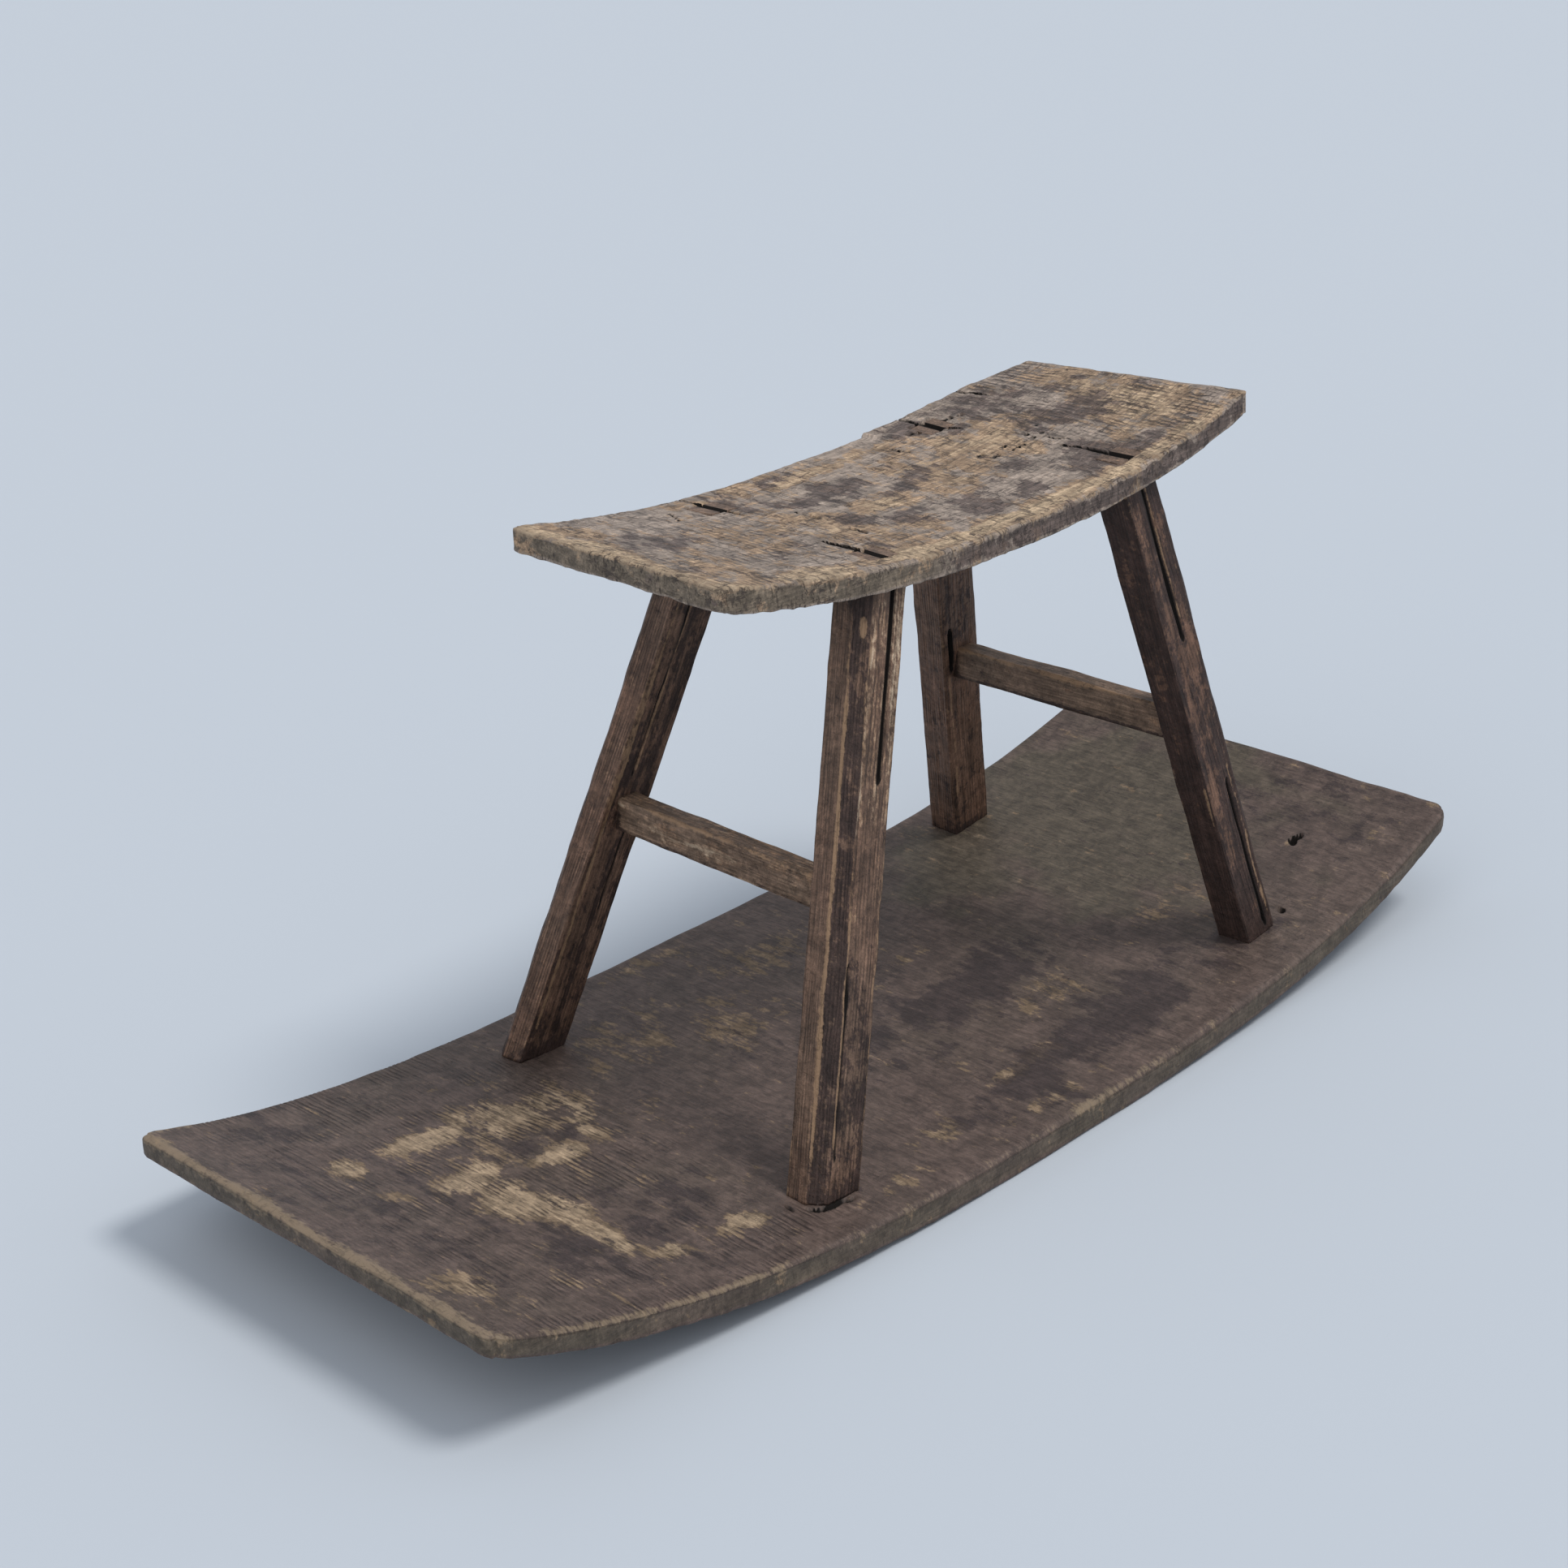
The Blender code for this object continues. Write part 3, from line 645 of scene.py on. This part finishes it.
def make_leg(name):
    leg = LEGS[name]
    origin, turn = leg["frame"]
    half = np.array((LEG_WIDTH / 2, LEG_DEPTH / 2))
    kerf = WEDGE_THICKNESS / 2
    xs = lines(half[0], 3 * MM, 1.5 * MM, [np.array((-1.3, -1.0, 1.0, 1.3)) * kerf])
    ys = lines(half[1], 3 * MM, 1.5 * MM)
    zs = np.concatenate([[-1, -0.5, -0.001], np.linspace(0, 1, 230), [1.001, 1.5, 2]])
    points, quads = brick(xs, ys, zs)
    height = points[:, 2]
    in_body = (height >= 0) & (height <= 1)

    # Worn arrises, and the wide chamfer on the outer corner
    radius = 1.8 * MM * (1 + 0.5 * fractal(points * (1, 1, 0.45), 0.03, 101 + len(name)))
    section = round_arrises(points[:, :2], half, radius)
    outer = leg["outer"] / math.sqrt(2)
    upright = np.stack([0 * height, 0 * height, height * 0.45], axis=1)
    wavy = 0.6 * MM * fractal(upright, 0.05, 111 + len(name))
    widens = 2.2 * MM * np.clip(height - 0.45, -0.6, 0.6)
    limit = (half.sum() - LEG_CHAMFER) / math.sqrt(2) + wavy + widens
    past = section @ outer - limit
    on_chamfer = (past > 0) & in_body
    section[on_chamfer] -= past[on_chamfer, None] * outer

    # Tenons: the section shrinks at both shoulders
    tenon_share = np.array((TENON_WIDTH / LEG_WIDTH, TENON_DEPTH / LEG_DEPTH))
    section = np.where(in_body[:, None], section, points[:, :2] * tenon_share)

    low = along_leg_to(leg, section, underside, BOARD) + 0.2 * MM
    foot = along_leg_to(leg, section, upside, BOARD) - 0.4 * MM
    shoulder = along_leg_to(leg, section, underside, SEAT) + 0.4 * MM
    high = along_leg_to(leg, section, upside, SEAT) - 0.3 * MM
    in_kerf = np.abs(section[:, 0]) < kerf * 1.05
    kerf_lips = np.abs(section[:, 0]) < kerf * 1.05 + 1.1 * MM
    low = np.where(in_kerf, low + WEDGE_LENGTH, low)
    high = np.where(in_kerf, high - WEDGE_LENGTH, high)
    t = np.select(
        [height < 0, height > 1],
        [foot + (foot - low) * height, shoulder + (high - shoulder) * (height - 1)],
        foot + (shoulder - foot) * height,
    )

    # Uneven faces: long waves, short tool marks and torn grain
    local = np.stack([section[:, 0], section[:, 1], t], axis=1)
    seed = 120 + 7 * list(LEGS).index(name)
    outwards = np.sign(points[:, :2]) * (np.abs(points[:, :2]) > half - 1e-6)
    front_face = (outwards[:, 1] < 0) & ~on_chamfer
    outwards[on_chamfer] = outer
    bumps = fractal(local, (0.03, 0.03, 0.10), seed) + fractal(local, (0.004, 0.004, 0.03), seed + 3)
    rough = np.where(on_chamfer, 1.3, 1.0)
    section += outwards * (0.35 * MM * bumps * rough * in_body)[:, None]

    side, wider = LEG_WIDER.get(name, (1, 0.0))
    section[:, 0] += side * wider * in_body * smooth(-half[0] * 0.5, half[0], side * points[:, 0])

    # Cracks down the front faces: cut in, and painted black as shade
    cracks = np.zeros(len(points))
    wander = 1.0 * MM * noise(local, (1, 1, 0.06), seed + 9)
    for across, start, end, width, depth in LEG_CRACKS[name]:
        away = np.abs(section[:, 0] - across * MM - wander)
        middle = np.clip(np.minimum(height - start, end - height) / 0.02, 0, 1)
        cracks = np.maximum(cracks, depth * np.clip(1 - away / (0.5 * width * MM), 0, 1) * middle)
    cracks *= front_face & in_body
    section -= outwards * (5.0 * MM * hollowed(cracks))[:, None]

    both = np.maximum(half[0] - np.abs(section[:, 0]), half[1] - np.abs(section[:, 1]))
    wear = np.clip(1 - both / 0.0040, 0, 1)
    chamfer_edge = np.clip(1 - np.abs(section @ outer - limit + 0.6 * MM) / (2.2 * MM), 0, 1) * ~on_chamfer
    wear = np.maximum(wear, chamfer_edge) * in_body
    quarter = 2 * (section[:, 0] > 0) + (section[:, 1] > 0)
    lengthwise = np.stack([height * 0.45, quarter * 0.31, 0 * height], axis=1)
    tones = LEG_TONES[name]
    wear *= tones["wear"] * smooth(-0.35, 0.55, fractal(lengthwise, 0.09, seed + 15))
    wander = 0.8 * MM * noise(local, (1, 1, 0.03), seed + 12)
    for *sizes, start, end, strength in LEG_STREAKS[name]:
        x, y, radius = np.array(sizes) * MM
        near = smooth(radius, 0.3 * radius, np.hypot(section[:, 0] - x - wander, section[:, 1] - y))
        wear = np.maximum(wear, strength * near * smooth(0, 0.02, np.minimum(height - start, end - height)))

    where = origin + section @ turn[:, :2].T + t[:, None] * turn[:, 2]
    grain = np.stack([t, section[:, 0] + 0.03, section[:, 1] + 0.05 + 0.01 * seed], axis=1)
    near_end = np.maximum(smooth(0.05, 0.0, height), smooth(0.94, 1.0, height))
    seat_end = height > 1
    streaks = 0.25 * fractal(grain, (0.14, 0.006, 0.006), seed + 21)
    light = np.where(front_face, tones["front_light"] * smooth(0.25, 0.80, height), tones["light"])
    darker = front_face * np.interp(height, (0.35, 0.75), tones["front_dark"]) + 0.6 * on_chamfer
    darker = np.clip(tones["dark"] + darker + 0.4 * near_end + streaks + ~in_body, 0, 1.2)
    rings = np.hypot(section[:, 0] + 0.031, section[:, 1] - 0.024)
    masks = dict(
        grain=grain,
        layer=rings + 1.2 * MM * noise(grain, (0.08, 0.02, 0.02), seed),
        bare=np.clip(light + streaks, 0, 1) * in_body + 0.3 * seat_end,
        dark=np.where(seat_end, tones["tenon"], darker),
        dusty=tones["dusty"] * in_body + 0.8 * seat_end,
        wear=wear,
        # crack is painted shade: black in the cracks and along the wedge's kerf on the tenon's top
        crack=np.maximum(crack_shade(cracks), kerf_lips & seat_end),
        scored=0.75 * in_body,
    )
    return make_piece(f"leg_{name}_worn", where, quads, masks)


def middle_at(leg, height):
    share = (height - leg["foot"][2]) / (leg["top"][2] - leg["foot"][2])
    return leg["foot"] + share * (leg["top"] - leg["foot"])


def make_stretcher(side):
    """A rail between two legs: a brick with worn arrises, laid along its own line."""
    front = middle_at(LEGS[f"front_{side}"], STRETCHER_HEIGHT)
    back = middle_at(LEGS[f"back_{side}"], STRETCHER_HEIGHT)
    along = (back - front) / np.linalg.norm(back - front)
    reach = np.linalg.norm(back - front) / 2 + 4 * MM
    across = np.cross(along, (0.0, 0.0, 1.0))
    across /= np.linalg.norm(across)
    up = np.cross(across, along)
    half = np.array((reach, STRETCHER_THICKNESS / 2, STRETCHER_DEPTH / 2))
    points, quads = brick(*(lines(h, 3 * MM, step * MM) for h, step in zip(half, (2.2, 1.6, 1.6))))
    seed, light, dark = (301, 0.35, 0.1) if side == "left" else (331, 0.0, 0.3)
    radius = np.clip(2.2 * MM * (1 + 0.5 * fractal(points, (0.03, 0.02, 0.02), seed)), 0.5 * MM, 5 * MM)
    worn = round_arrises(points, half, radius)
    faces = np.stack([0 * worn[:, 0], worn[:, 1] / half[1], worn[:, 2] / half[2]], axis=1)
    outwards = np.where(np.abs(faces) > 0.98, np.sign(faces), 0)
    bumps = 0.6 * fractal(worn, (0.06, 0.03, 0.03), seed + 5)
    bumps += 0.3 * fractal(worn, (0.02, 0.004, 0.004), seed + 8)
    worn = worn + outwards * (MM * bumps)[:, None]
    edge = np.clip(1 - np.hypot(half[1] - np.abs(worn[:, 1]), half[2] - np.abs(worn[:, 2])) / 0.0055, 0, 1)
    upper = np.where(worn[:, 2] > 0, 1.0, 0.35)
    where = (front + back) / 2 + worn[:, :1] * along + worn[:, 1:2] * across + worn[:, 2:] * up
    in_leg = smooth(reach - 0.030, reach - 0.018, np.abs(worn[:, 0]))
    dark += 0.8 * in_leg + 0.5 * (worn[:, 2] < -half[2] * 0.7)
    masks = dict(
        grain=worn + np.array((0.3, 0.04, 0.02 + 0.01 * seed)),
        layer=worn[:, 2] + 0.6 * worn[:, 1] + 0.0015 * noise(worn, (0.07, 0.02, 0.02), seed + 2),
        bare=np.clip(light + 0.45 * fractal(worn, (0.06, 0.01, 0.01), seed + 12), 0, 0.8),
        dark=np.clip(dark, 0, 1),
        dusty=np.full(len(points), 0.3),
        wear=edge * upper * smooth(-0.5, 0.4, fractal(worn, (0.05, 0.02, 0.02), seed + 14)),
        crack=np.zeros(len(points)),
        scored=np.full(len(points), 0.3),
    )
    return make_piece(f"stretcher_{side}_worn", where, quads, masks)


def make_wedge(name, end):
    """A wedge in its kerf: a thin brick that narrows inwards and has shrunk below the tenon's face."""
    leg = LEGS[name]
    origin, turn = leg["frame"]
    half = np.array((WEDGE_THICKNESS / 2 - 0.4 * MM, TENON_DEPTH / 2 - 0.5 * MM, 0.5))
    points, quads = brick(
        lines(half[0], 0.7 * MM, 0.8 * MM), lines(half[1], 1.5 * MM, 1.5 * MM), np.linspace(-0.5, 0.5, 14)
    )
    surface = np.linalg.norm((leg["top"] if end == "seat" else leg["under"]) - origin)
    surface, inwards = (surface, -1) if end == "seat" else (-surface, 1)
    share = points[:, 2] + 0.5
    narrow = 1 - 0.6 * share
    shrunk = 5.0 * MM if end == "seat" else 0.5 * MM
    ragged = (0.5 - points[:, 2]) * 0.5 * MM * noise(points * (1, 1, 0), 0.002, 401)
    t = surface + inwards * (shrunk + share * (WEDGE_LENGTH - 1.5 * MM - shrunk) + ragged)
    section = points[:, :2] * np.stack([narrow, np.ones_like(narrow)], axis=1)
    where = origin + section @ turn[:, :2].T + t[:, None] * turn[:, 2]
    if inwards > 0:
        quads = quads[:, ::-1]
    none = np.zeros(len(points))
    # Painted shade: the seat wedge, down in its kerf, is painted black all over; the foot wedge is painted
    # somewhat darker
    masks = dict(
        grain=where[:, [2, 0, 1]], layer=where[:, 0], bare=none, dark=none + 1, dusty=none, wear=none,
        crack=none + (1.0 if end == "seat" else 0.3), scored=none,
    )
    return make_piece(f"wedge_{end}_{name}_worn", where, quads, masks)


# ---- node helpers ----


class Nodes:
    """Short ways to add nodes to a tree and to join them; values that are numbers set the socket."""

    def __init__(self, tree):
        self.tree = tree

    def feed(self, node, inputs):
        for key, value in inputs.items():
            if isinstance(value, bpy.types.NodeSocket):
                self.tree.links.new(value, node.inputs[key])
            else:
                node.inputs[key].default_value = value

    def add(self, kind, inputs=None, **settings):
        node = self.tree.nodes.new(kind)
        for key, value in settings.items():
            setattr(node, key, value)
        self.feed(node, inputs or {})
        return node

    def math(self, operation, *values):
        return self.add("ShaderNodeMath", dict(enumerate(values)), operation=operation).outputs[0]

    def total(self, first, *others):
        return functools.reduce(lambda a, b: self.math("ADD", a, b), others, first)

    def product(self, first, *others):
        return functools.reduce(lambda a, b: self.math("MULTIPLY", a, b), others, first)

    def swing(self, value, width):
        """A noise, 0 to 1, turned into a push of half the width either way."""
        return self.math("MULTIPLY_ADD", value, width, -width / 2)

    def ramp(self, value, low, high, to_low=0.0, to_high=1.0):
        inputs = {"Value": value, "From Min": low, "From Max": high, "To Min": to_low, "To Max": to_high}
        return self.add("ShaderNodeMapRange", inputs, interpolation_type="SMOOTHSTEP").outputs[0]

    def noise(self, vector, scale, detail, roughness=0.5, distortion=0.0):
        inputs = dict(Vector=vector, Scale=scale, Detail=detail, Roughness=roughness, Distortion=distortion)
        return self.add("ShaderNodeTexNoise", inputs).outputs["Fac"]

    def stretch(self, vector, scale, place=(0.0, 0.0, 0.0)):
        return self.add("ShaderNodeMapping", dict(Vector=vector, Scale=scale, Location=place)).outputs[0]

    def mix(self, factor, a, b):
        return self.add("ShaderNodeMix", {0: factor, 6: a, 7: b}, data_type="RGBA").outputs[2]

    def mask(self, name):
        return self.add("ShaderNodeAttribute", attribute_name=name).outputs["Fac"]


def colour(red, green, blue):
    """A colour as it looks on screen, 0 to 255, turned to the linear values that a shader takes."""
    screen = np.array((red, green, blue)) / 255.0
    linear = np.where(screen <= 0.04045, screen / 12.92, ((screen + 0.055) / 1.055) ** 2.4)
    return (*(float(v) for v in linear), 1.0)


def new_group(name, inputs, outputs):
    """A node group, its sockets named by kind; returns its tree helper, its inputs and its output node."""
    tree = bpy.data.node_groups.new(name, "ShaderNodeTree")
    for way, sockets in (("INPUT", inputs), ("OUTPUT", outputs)):
        for kind, labels in sockets.items():
            for label in labels:
                tree.interface.new_socket(label, in_out=way, socket_type="NodeSocket" + kind)
    nodes = Nodes(tree)
    return nodes, nodes.add("NodeGroupInput").outputs, nodes.add("NodeGroupOutput")


TIMBER_LOOKS = ("Layers", "Fibre", "Streak")
MASKS = ("Bare", "Dark", "Dusty", "Wear", "Crack", "Scored")
AMOUNTS = ("Bareness", "Darkness", "Raggedness", "Line Contrast", "Flecks", "Fibre Contrast")
COLOURS = ("Patina", "Deep Patina", "Dust", "Bare Wood", "Pale Wood", "Worn Edge")
BLACK, WHITE = (0.0, 0.0, 0.0, 1.0), (1.0, 1.0, 1.0, 1.0)


def old_timber_group():
    """Wood as it grew: Layers is thin dark late wood between growth layers, Fibre is fine lengthwise streaks.

    Layer is a length measured across the growth layers, Spacing the distance from one dark line to the next.
    """
    nodes, given, out = new_group(
        "old_timber", {"Vector": ("Grain",), "Float": ("Layer", "Spacing")}, {"Float": TIMBER_LOOKS}
    )
    turn = nodes.math("DIVIDE", given["Layer"], given["Spacing"])
    along = nodes.add("ShaderNodeCombineXYZ", {0: turn}).outputs[0]
    uneven = nodes.noise(along, 0.35, 2.0)
    wobble = nodes.noise(nodes.stretch(given["Grain"], (40.0, 90.0, 90.0)), 1.0, 3.0, 0.6)
    turn = nodes.total(turn, nodes.product(uneven, 2.2), nodes.product(wobble, 0.9))
    saw = nodes.math("FRACT", turn)
    late = nodes.product(nodes.ramp(saw, 0.45, 0.88), nodes.ramp(saw, 1.0, 0.92))
    fine = nodes.noise(nodes.stretch(given["Grain"], (22.0, 520.0, 520.0)), 1.0, 3.0, 0.6)
    streak = nodes.noise(nodes.stretch(given["Grain"], (26.0, 150.0, 150.0)), 1.0, 4.0, 0.6)
    nodes.feed(out, {"Layers": late, "Fibre": fine, "Streak": streak})
    return nodes.tree


def worn_patina_group():
    """Patina over timber: dark where it is kept, bare where it is rubbed off, pale on worn arrises.

    The painted masks only say how likely each state is. Noise of several sizes and the growth layers decide
    it, so every border is ragged down to flecks of a millimetre.
    """
    nodes, given, out = new_group(
        "worn_patina",
        {"Vector": ("Place",), "Float": TIMBER_LOOKS + MASKS + AMOUNTS, "Color": COLOURS},
        {"Color": ("Colour",), "Float": ("Roughness", "Height")},
    )
    place, fibre, streak, ragged = (given[label] for label in ("Place", "Fibre", "Streak", "Raggedness"))
    deep = given["Deep Patina"]
    ramp, swing, total, product = nodes.ramp, nodes.swing, nodes.total, nodes.product

    cross = nodes.stretch(place, (1.6, 0.7, 1.0))
    blotch = nodes.noise(cross, 34.0, 7.0, 0.68)
    stain = nodes.noise(nodes.stretch(cross, (1.0, 1.0, 1.0), (3.1, 1.7, 0.4)), 42.0, 7.0, 0.70)
    fleck = nodes.noise(cross, 190.0, 4.0, 0.62)
    grit = nodes.noise(place, 900.0, 2.0, 0.6)
    mottle = nodes.noise(nodes.stretch(place, (1.0, 1.0, 1.0), (0.3, 4.7, 2.2)), 60.0, 4.0, 0.6, 0.5)
    cloud = nodes.noise(place, 8.0, 3.0)
    line = product(given["Layers"], ramp(blotch, 0.36, 0.56), given["Scored"])

    # Patina, dusty in places, and bare wood where it is rubbed away; the deep patina lies over both
    kept = total(
        given["Dark"], given["Darkness"], product(ragged, swing(stain, 3.4)), swing(fleck, 1.4),
        swing(cloud, 1.0),
    )
    dusty = ramp(total(given["Dusty"], cloud), 0.40, 1.20)
    tone = nodes.mix(dusty, given["Patina"], given["Dust"])
    rubbed = total(
        given["Bare"], given["Bareness"], product(ragged, swing(blotch, 3.2)), swing(fleck, 1.5),
        swing(streak, 0.9), product(line, -0.4),
    )
    bare = ramp(rubbed, 0.42, 0.72)
    paler = ramp(total(given["Bare"], swing(streak, 1.4), swing(fleck, 0.8)), 0.50, 1.10)
    base = nodes.mix(bare, tone, nodes.mix(paler, given["Bare Wood"], given["Pale Wood"]))
    base = nodes.mix(product(ramp(kept, 0.38, 0.68), 0.88), base, deep)

    # Dark lines between growth layers, then fibres, grit and mottling lighten and darken everything
    shade = nodes.mix(0.55, deep, BLACK)
    base = nodes.mix(product(line, given["Line Contrast"]), base, shade)
    lit = product(
        ramp(fibre, 0.32, 0.68, 0.70, 1.30), ramp(grit, 0.3, 0.7, 0.80, 1.20),
        ramp(streak, 0.34, 0.66, 0.80, 1.20),
    )
    lit = nodes.mix(given["Fibre Contrast"], WHITE, lit)
    lit = product(lit, ramp(fleck, 0.34, 0.66, 0.82, 1.18), ramp(mottle, 0.34, 0.66, 0.80, 1.20))
    base = nodes.add("ShaderNodeVectorMath", {0: base, "Scale": lit}, operation="SCALE").outputs[0]

    # Pale worn arrises
    worn = ramp(total(given["Wear"], swing(blotch, 1.6), swing(fleck, 1.4)), 0.30, 0.72)
    worn = product(worn, ramp(given["Wear"], 0.02, 0.20))
    base = nodes.mix(product(worn, 0.72), base, given["Worn Edge"])

    # Small dark nicks across and along the wood, and painted shade that turns cracks black
    crosswise = nodes.noise(nodes.stretch(place, (2.6, 0.6, 1.0)), 110.0, 3.0, 0.7, 0.6)
    lengthwise = nodes.noise(nodes.stretch(place, (0.5, 2.4, 1.0), (0.7, 0.2, 0.0)), 120.0, 3.0, 0.7, 0.6)
    marks = nodes.math("MAXIMUM", ramp(crosswise, 0.545, 0.605), ramp(lengthwise, 0.575, 0.625))
    pits = product(marks, ramp(stain, 0.36, 0.58), given["Flecks"])
    base = nodes.mix(product(pits, 0.82), base, shade)
    # Crack is painted shade: near black in cracks, gaps and kerfs
    hollow = ramp(given["Crack"], 0.05, 0.75)
    base = nodes.mix(hollow, base, (0.006, 0.004, 0.003, 1.0))

    rough = total(nodes.math("MULTIPLY_ADD", bare, 0.12, 0.60), swing(fleck, 0.16))
    high = total(
        product(fibre, 0.45), product(streak, 0.5), product(fleck, 0.7), product(line, -0.55),
        product(pits, -0.6), product(bare, -0.20),
    )
    nodes.feed(out, {"Colour": base, "Roughness": nodes.math("MAXIMUM", rough, hollow), "Height": high})
    return nodes.tree


TIMBER = old_timber_group()
PATINA = worn_patina_group()


def old_wood(name, spacing, bump, amounts, colours):
    """One piece's wood: its own colours and grain, through the two shared groups."""
    material = bpy.data.materials.new(name)
    material.use_nodes = True
    nodes = Nodes(material.node_tree)
    grain = nodes.add("ShaderNodeAttribute", attribute_name="grain").outputs["Vector"]
    inputs = {"Grain": grain, "Layer": nodes.mask("layer"), "Spacing": spacing}
    timber = nodes.add("ShaderNodeGroup", inputs, node_tree=TIMBER)
    inputs = {"Place": nodes.add("ShaderNodeTexCoord").outputs["Object"]}
    inputs.update((label, timber.outputs[label]) for label in TIMBER_LOOKS)
    inputs.update((label, nodes.mask(label.lower())) for label in MASKS)
    inputs.update(zip(AMOUNTS, amounts))
    inputs.update((label, colour(*shade)) for label, shade in zip(COLOURS, colours))
    patina = nodes.add("ShaderNodeGroup", inputs, node_tree=PATINA)
    relief = nodes.add(
        "ShaderNodeBump", {"Strength": bump, "Distance": 1.2 * MM, "Height": patina.outputs["Height"]}
    )
    nodes.feed(material.node_tree.nodes["Principled BSDF"], {
        "Base Color": patina.outputs["Colour"], "Roughness": patina.outputs["Roughness"],
        "Normal": relief.outputs["Normal"], "Specular IOR Level": 0.3,
    })
    return material


# The legs and the stretchers share all colours but two
DEEP, BARE, PALE, EDGE = (50, 37, 34), (133, 105, 83), (168, 148, 126), (158, 127, 98)
# Each wood: its name, line spacing, relief, then its AMOUNTS and its COLOURS in their order
BOARD_WOOD = (
    "board_patina", BOARD["line_spacing"], 0.8, (0.06, -0.05, 0.9, 0.75, 0.35, 0.45),
    ((90, 75, 68), (61, 50, 48), (87, 77, 65), (118, 99, 79), (153, 132, 108), (138, 120, 98)),
)
SEAT_WOOD = (
    "seat_patina", SEAT["line_spacing"], 1.0, (0.20, -0.05, 1.1, 0.9, 0.9, 0.75),
    ((150, 134, 121), (89, 75, 69), (112, 99, 84), (151, 126, 102), (171, 148, 121), (152, 134, 113)),
)
LEG_WOOD = (
    "leg_patina", 2.6 * MM, 1.0, (-0.05, -0.06, 0.45, 0.6, 0.35, 0.85),
    ((110, 82, 66), DEEP, (109, 88, 73), BARE, PALE, EDGE),
)
RAIL_WOOD = (
    "rail_patina", 2.6 * MM, 0.9, (0.0, -0.05, 0.45, 0.6, 0.4, 0.85),
    ((118, 95, 79), DEEP, (122, 102, 84), BARE, PALE, EDGE),
)


def put_together():
    """Makes every piece, gives it its wood, and lets it stand for its CAD node."""
    woods = (BOARD_WOOD, SEAT_WOOD, LEG_WOOD, RAIL_WOOD)
    board_wood, seat_wood, leg_wood, rail_wood = (old_wood(*wood) for wood in woods)
    pieces = [
        (make_board(), "rocker_board", "board_wood", board_wood),
        (make_seat(), "seat_plank", "seat_wood", seat_wood),
    ]
    for side in ("left", "right"):
        pieces.append((make_stretcher(side), f"stretcher_{side}", "stretcher_wood", rail_wood))
    for name in LEGS:
        pieces.append((make_leg(name), f"leg_{name}", "leg_wood", leg_wood))
        for end in ("seat", "foot"):
            pieces.append((make_wedge(name, end), f"wedge_{end}_{name}", "wedge_wood", leg_wood))
    for piece, node, slot, material in pieces:
        piece.data.materials.append(material)
        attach(piece, "root")
        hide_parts(node)


# ---- floor, light and camera ----


def make_stage():
    """A pale floor that fades into a pale world."""
    half = 60.0
    corners = [(-half, -half, 0), (half, -half, 0), (half, half, 0), (-half, half, 0)]
    mesh = bpy.data.meshes.new("floor")
    mesh.from_pydata(corners, [], [(0, 1, 2, 3)])
    floor = bpy.data.objects.new("floor", mesh)
    bpy.context.scene.collection.objects.link(floor)
    material = bpy.data.materials.new("pale_floor")
    material.use_nodes = True
    shader = material.node_tree.nodes["Principled BSDF"]
    shader.inputs["Base Color"].default_value = colour(190, 196, 203)
    shader.inputs["Roughness"].default_value = 0.9
    floor.data.materials.append(material)

    world = bpy.data.worlds.new("studio")
    bpy.context.scene.world = world
    world.use_nodes = True
    nodes = Nodes(world.node_tree)
    background = world.node_tree.nodes["Background"]
    path = nodes.add("ShaderNodeLightPath").outputs
    seen = nodes.math("MAXIMUM", path["Is Camera Ray"], path["Is Glossy Ray"])
    tint = nodes.mix(seen, colour(205, 213, 224), colour(214, 222, 232))
    nodes.tree.links.new(tint, background.inputs["Color"])
    background.inputs["Strength"].default_value = 0.82


def add_sky_light(name, toward, strength, spread, tint):
    """A distant lamp, so that the floor is lit evenly; spread is how wide it looks, which softens shadows."""
    light = bpy.data.lights.new(name, "SUN")
    light.energy = strength
    light.angle = math.radians(spread)
    light.color = tint
    lamp = bpy.data.objects.new(name, light)
    lamp.rotation_euler = Vector(toward).to_track_quat("Z", "Y").to_euler()
    bpy.context.scene.collection.objects.link(lamp)


def add_camera():
    """Low at the left front corner, looking a little down along the bench."""
    yaw, pitch, roll = (math.radians(angle) for angle in (45.476 - 90, 90 - 23.590, -2.686))
    turn = Matrix.Rotation(yaw, 4, "Z") @ Matrix.Rotation(pitch, 4, "X") @ Matrix.Rotation(roll, 4, "Z")
    data = bpy.data.cameras.new("camera")
    data.lens = 65.86
    data.sensor_width = 36.0
    camera = bpy.data.objects.new("camera", data)
    camera.matrix_world = Matrix.Translation((-1.4992, -1.4614, 1.1579)) @ turn
    bpy.context.scene.collection.objects.link(camera)
    bpy.context.scene.camera = camera


put_together()
make_stage()
add_sky_light("window", (0.42, -0.80, 1.75), 1.55, 18, (1.0, 0.985, 0.96))
add_sky_light("fill", (-0.9, -0.4, 0.9), 0.6, 60, (1.0, 0.985, 0.97))
add_camera()
bpy.context.scene.view_settings.view_transform = "Standard"
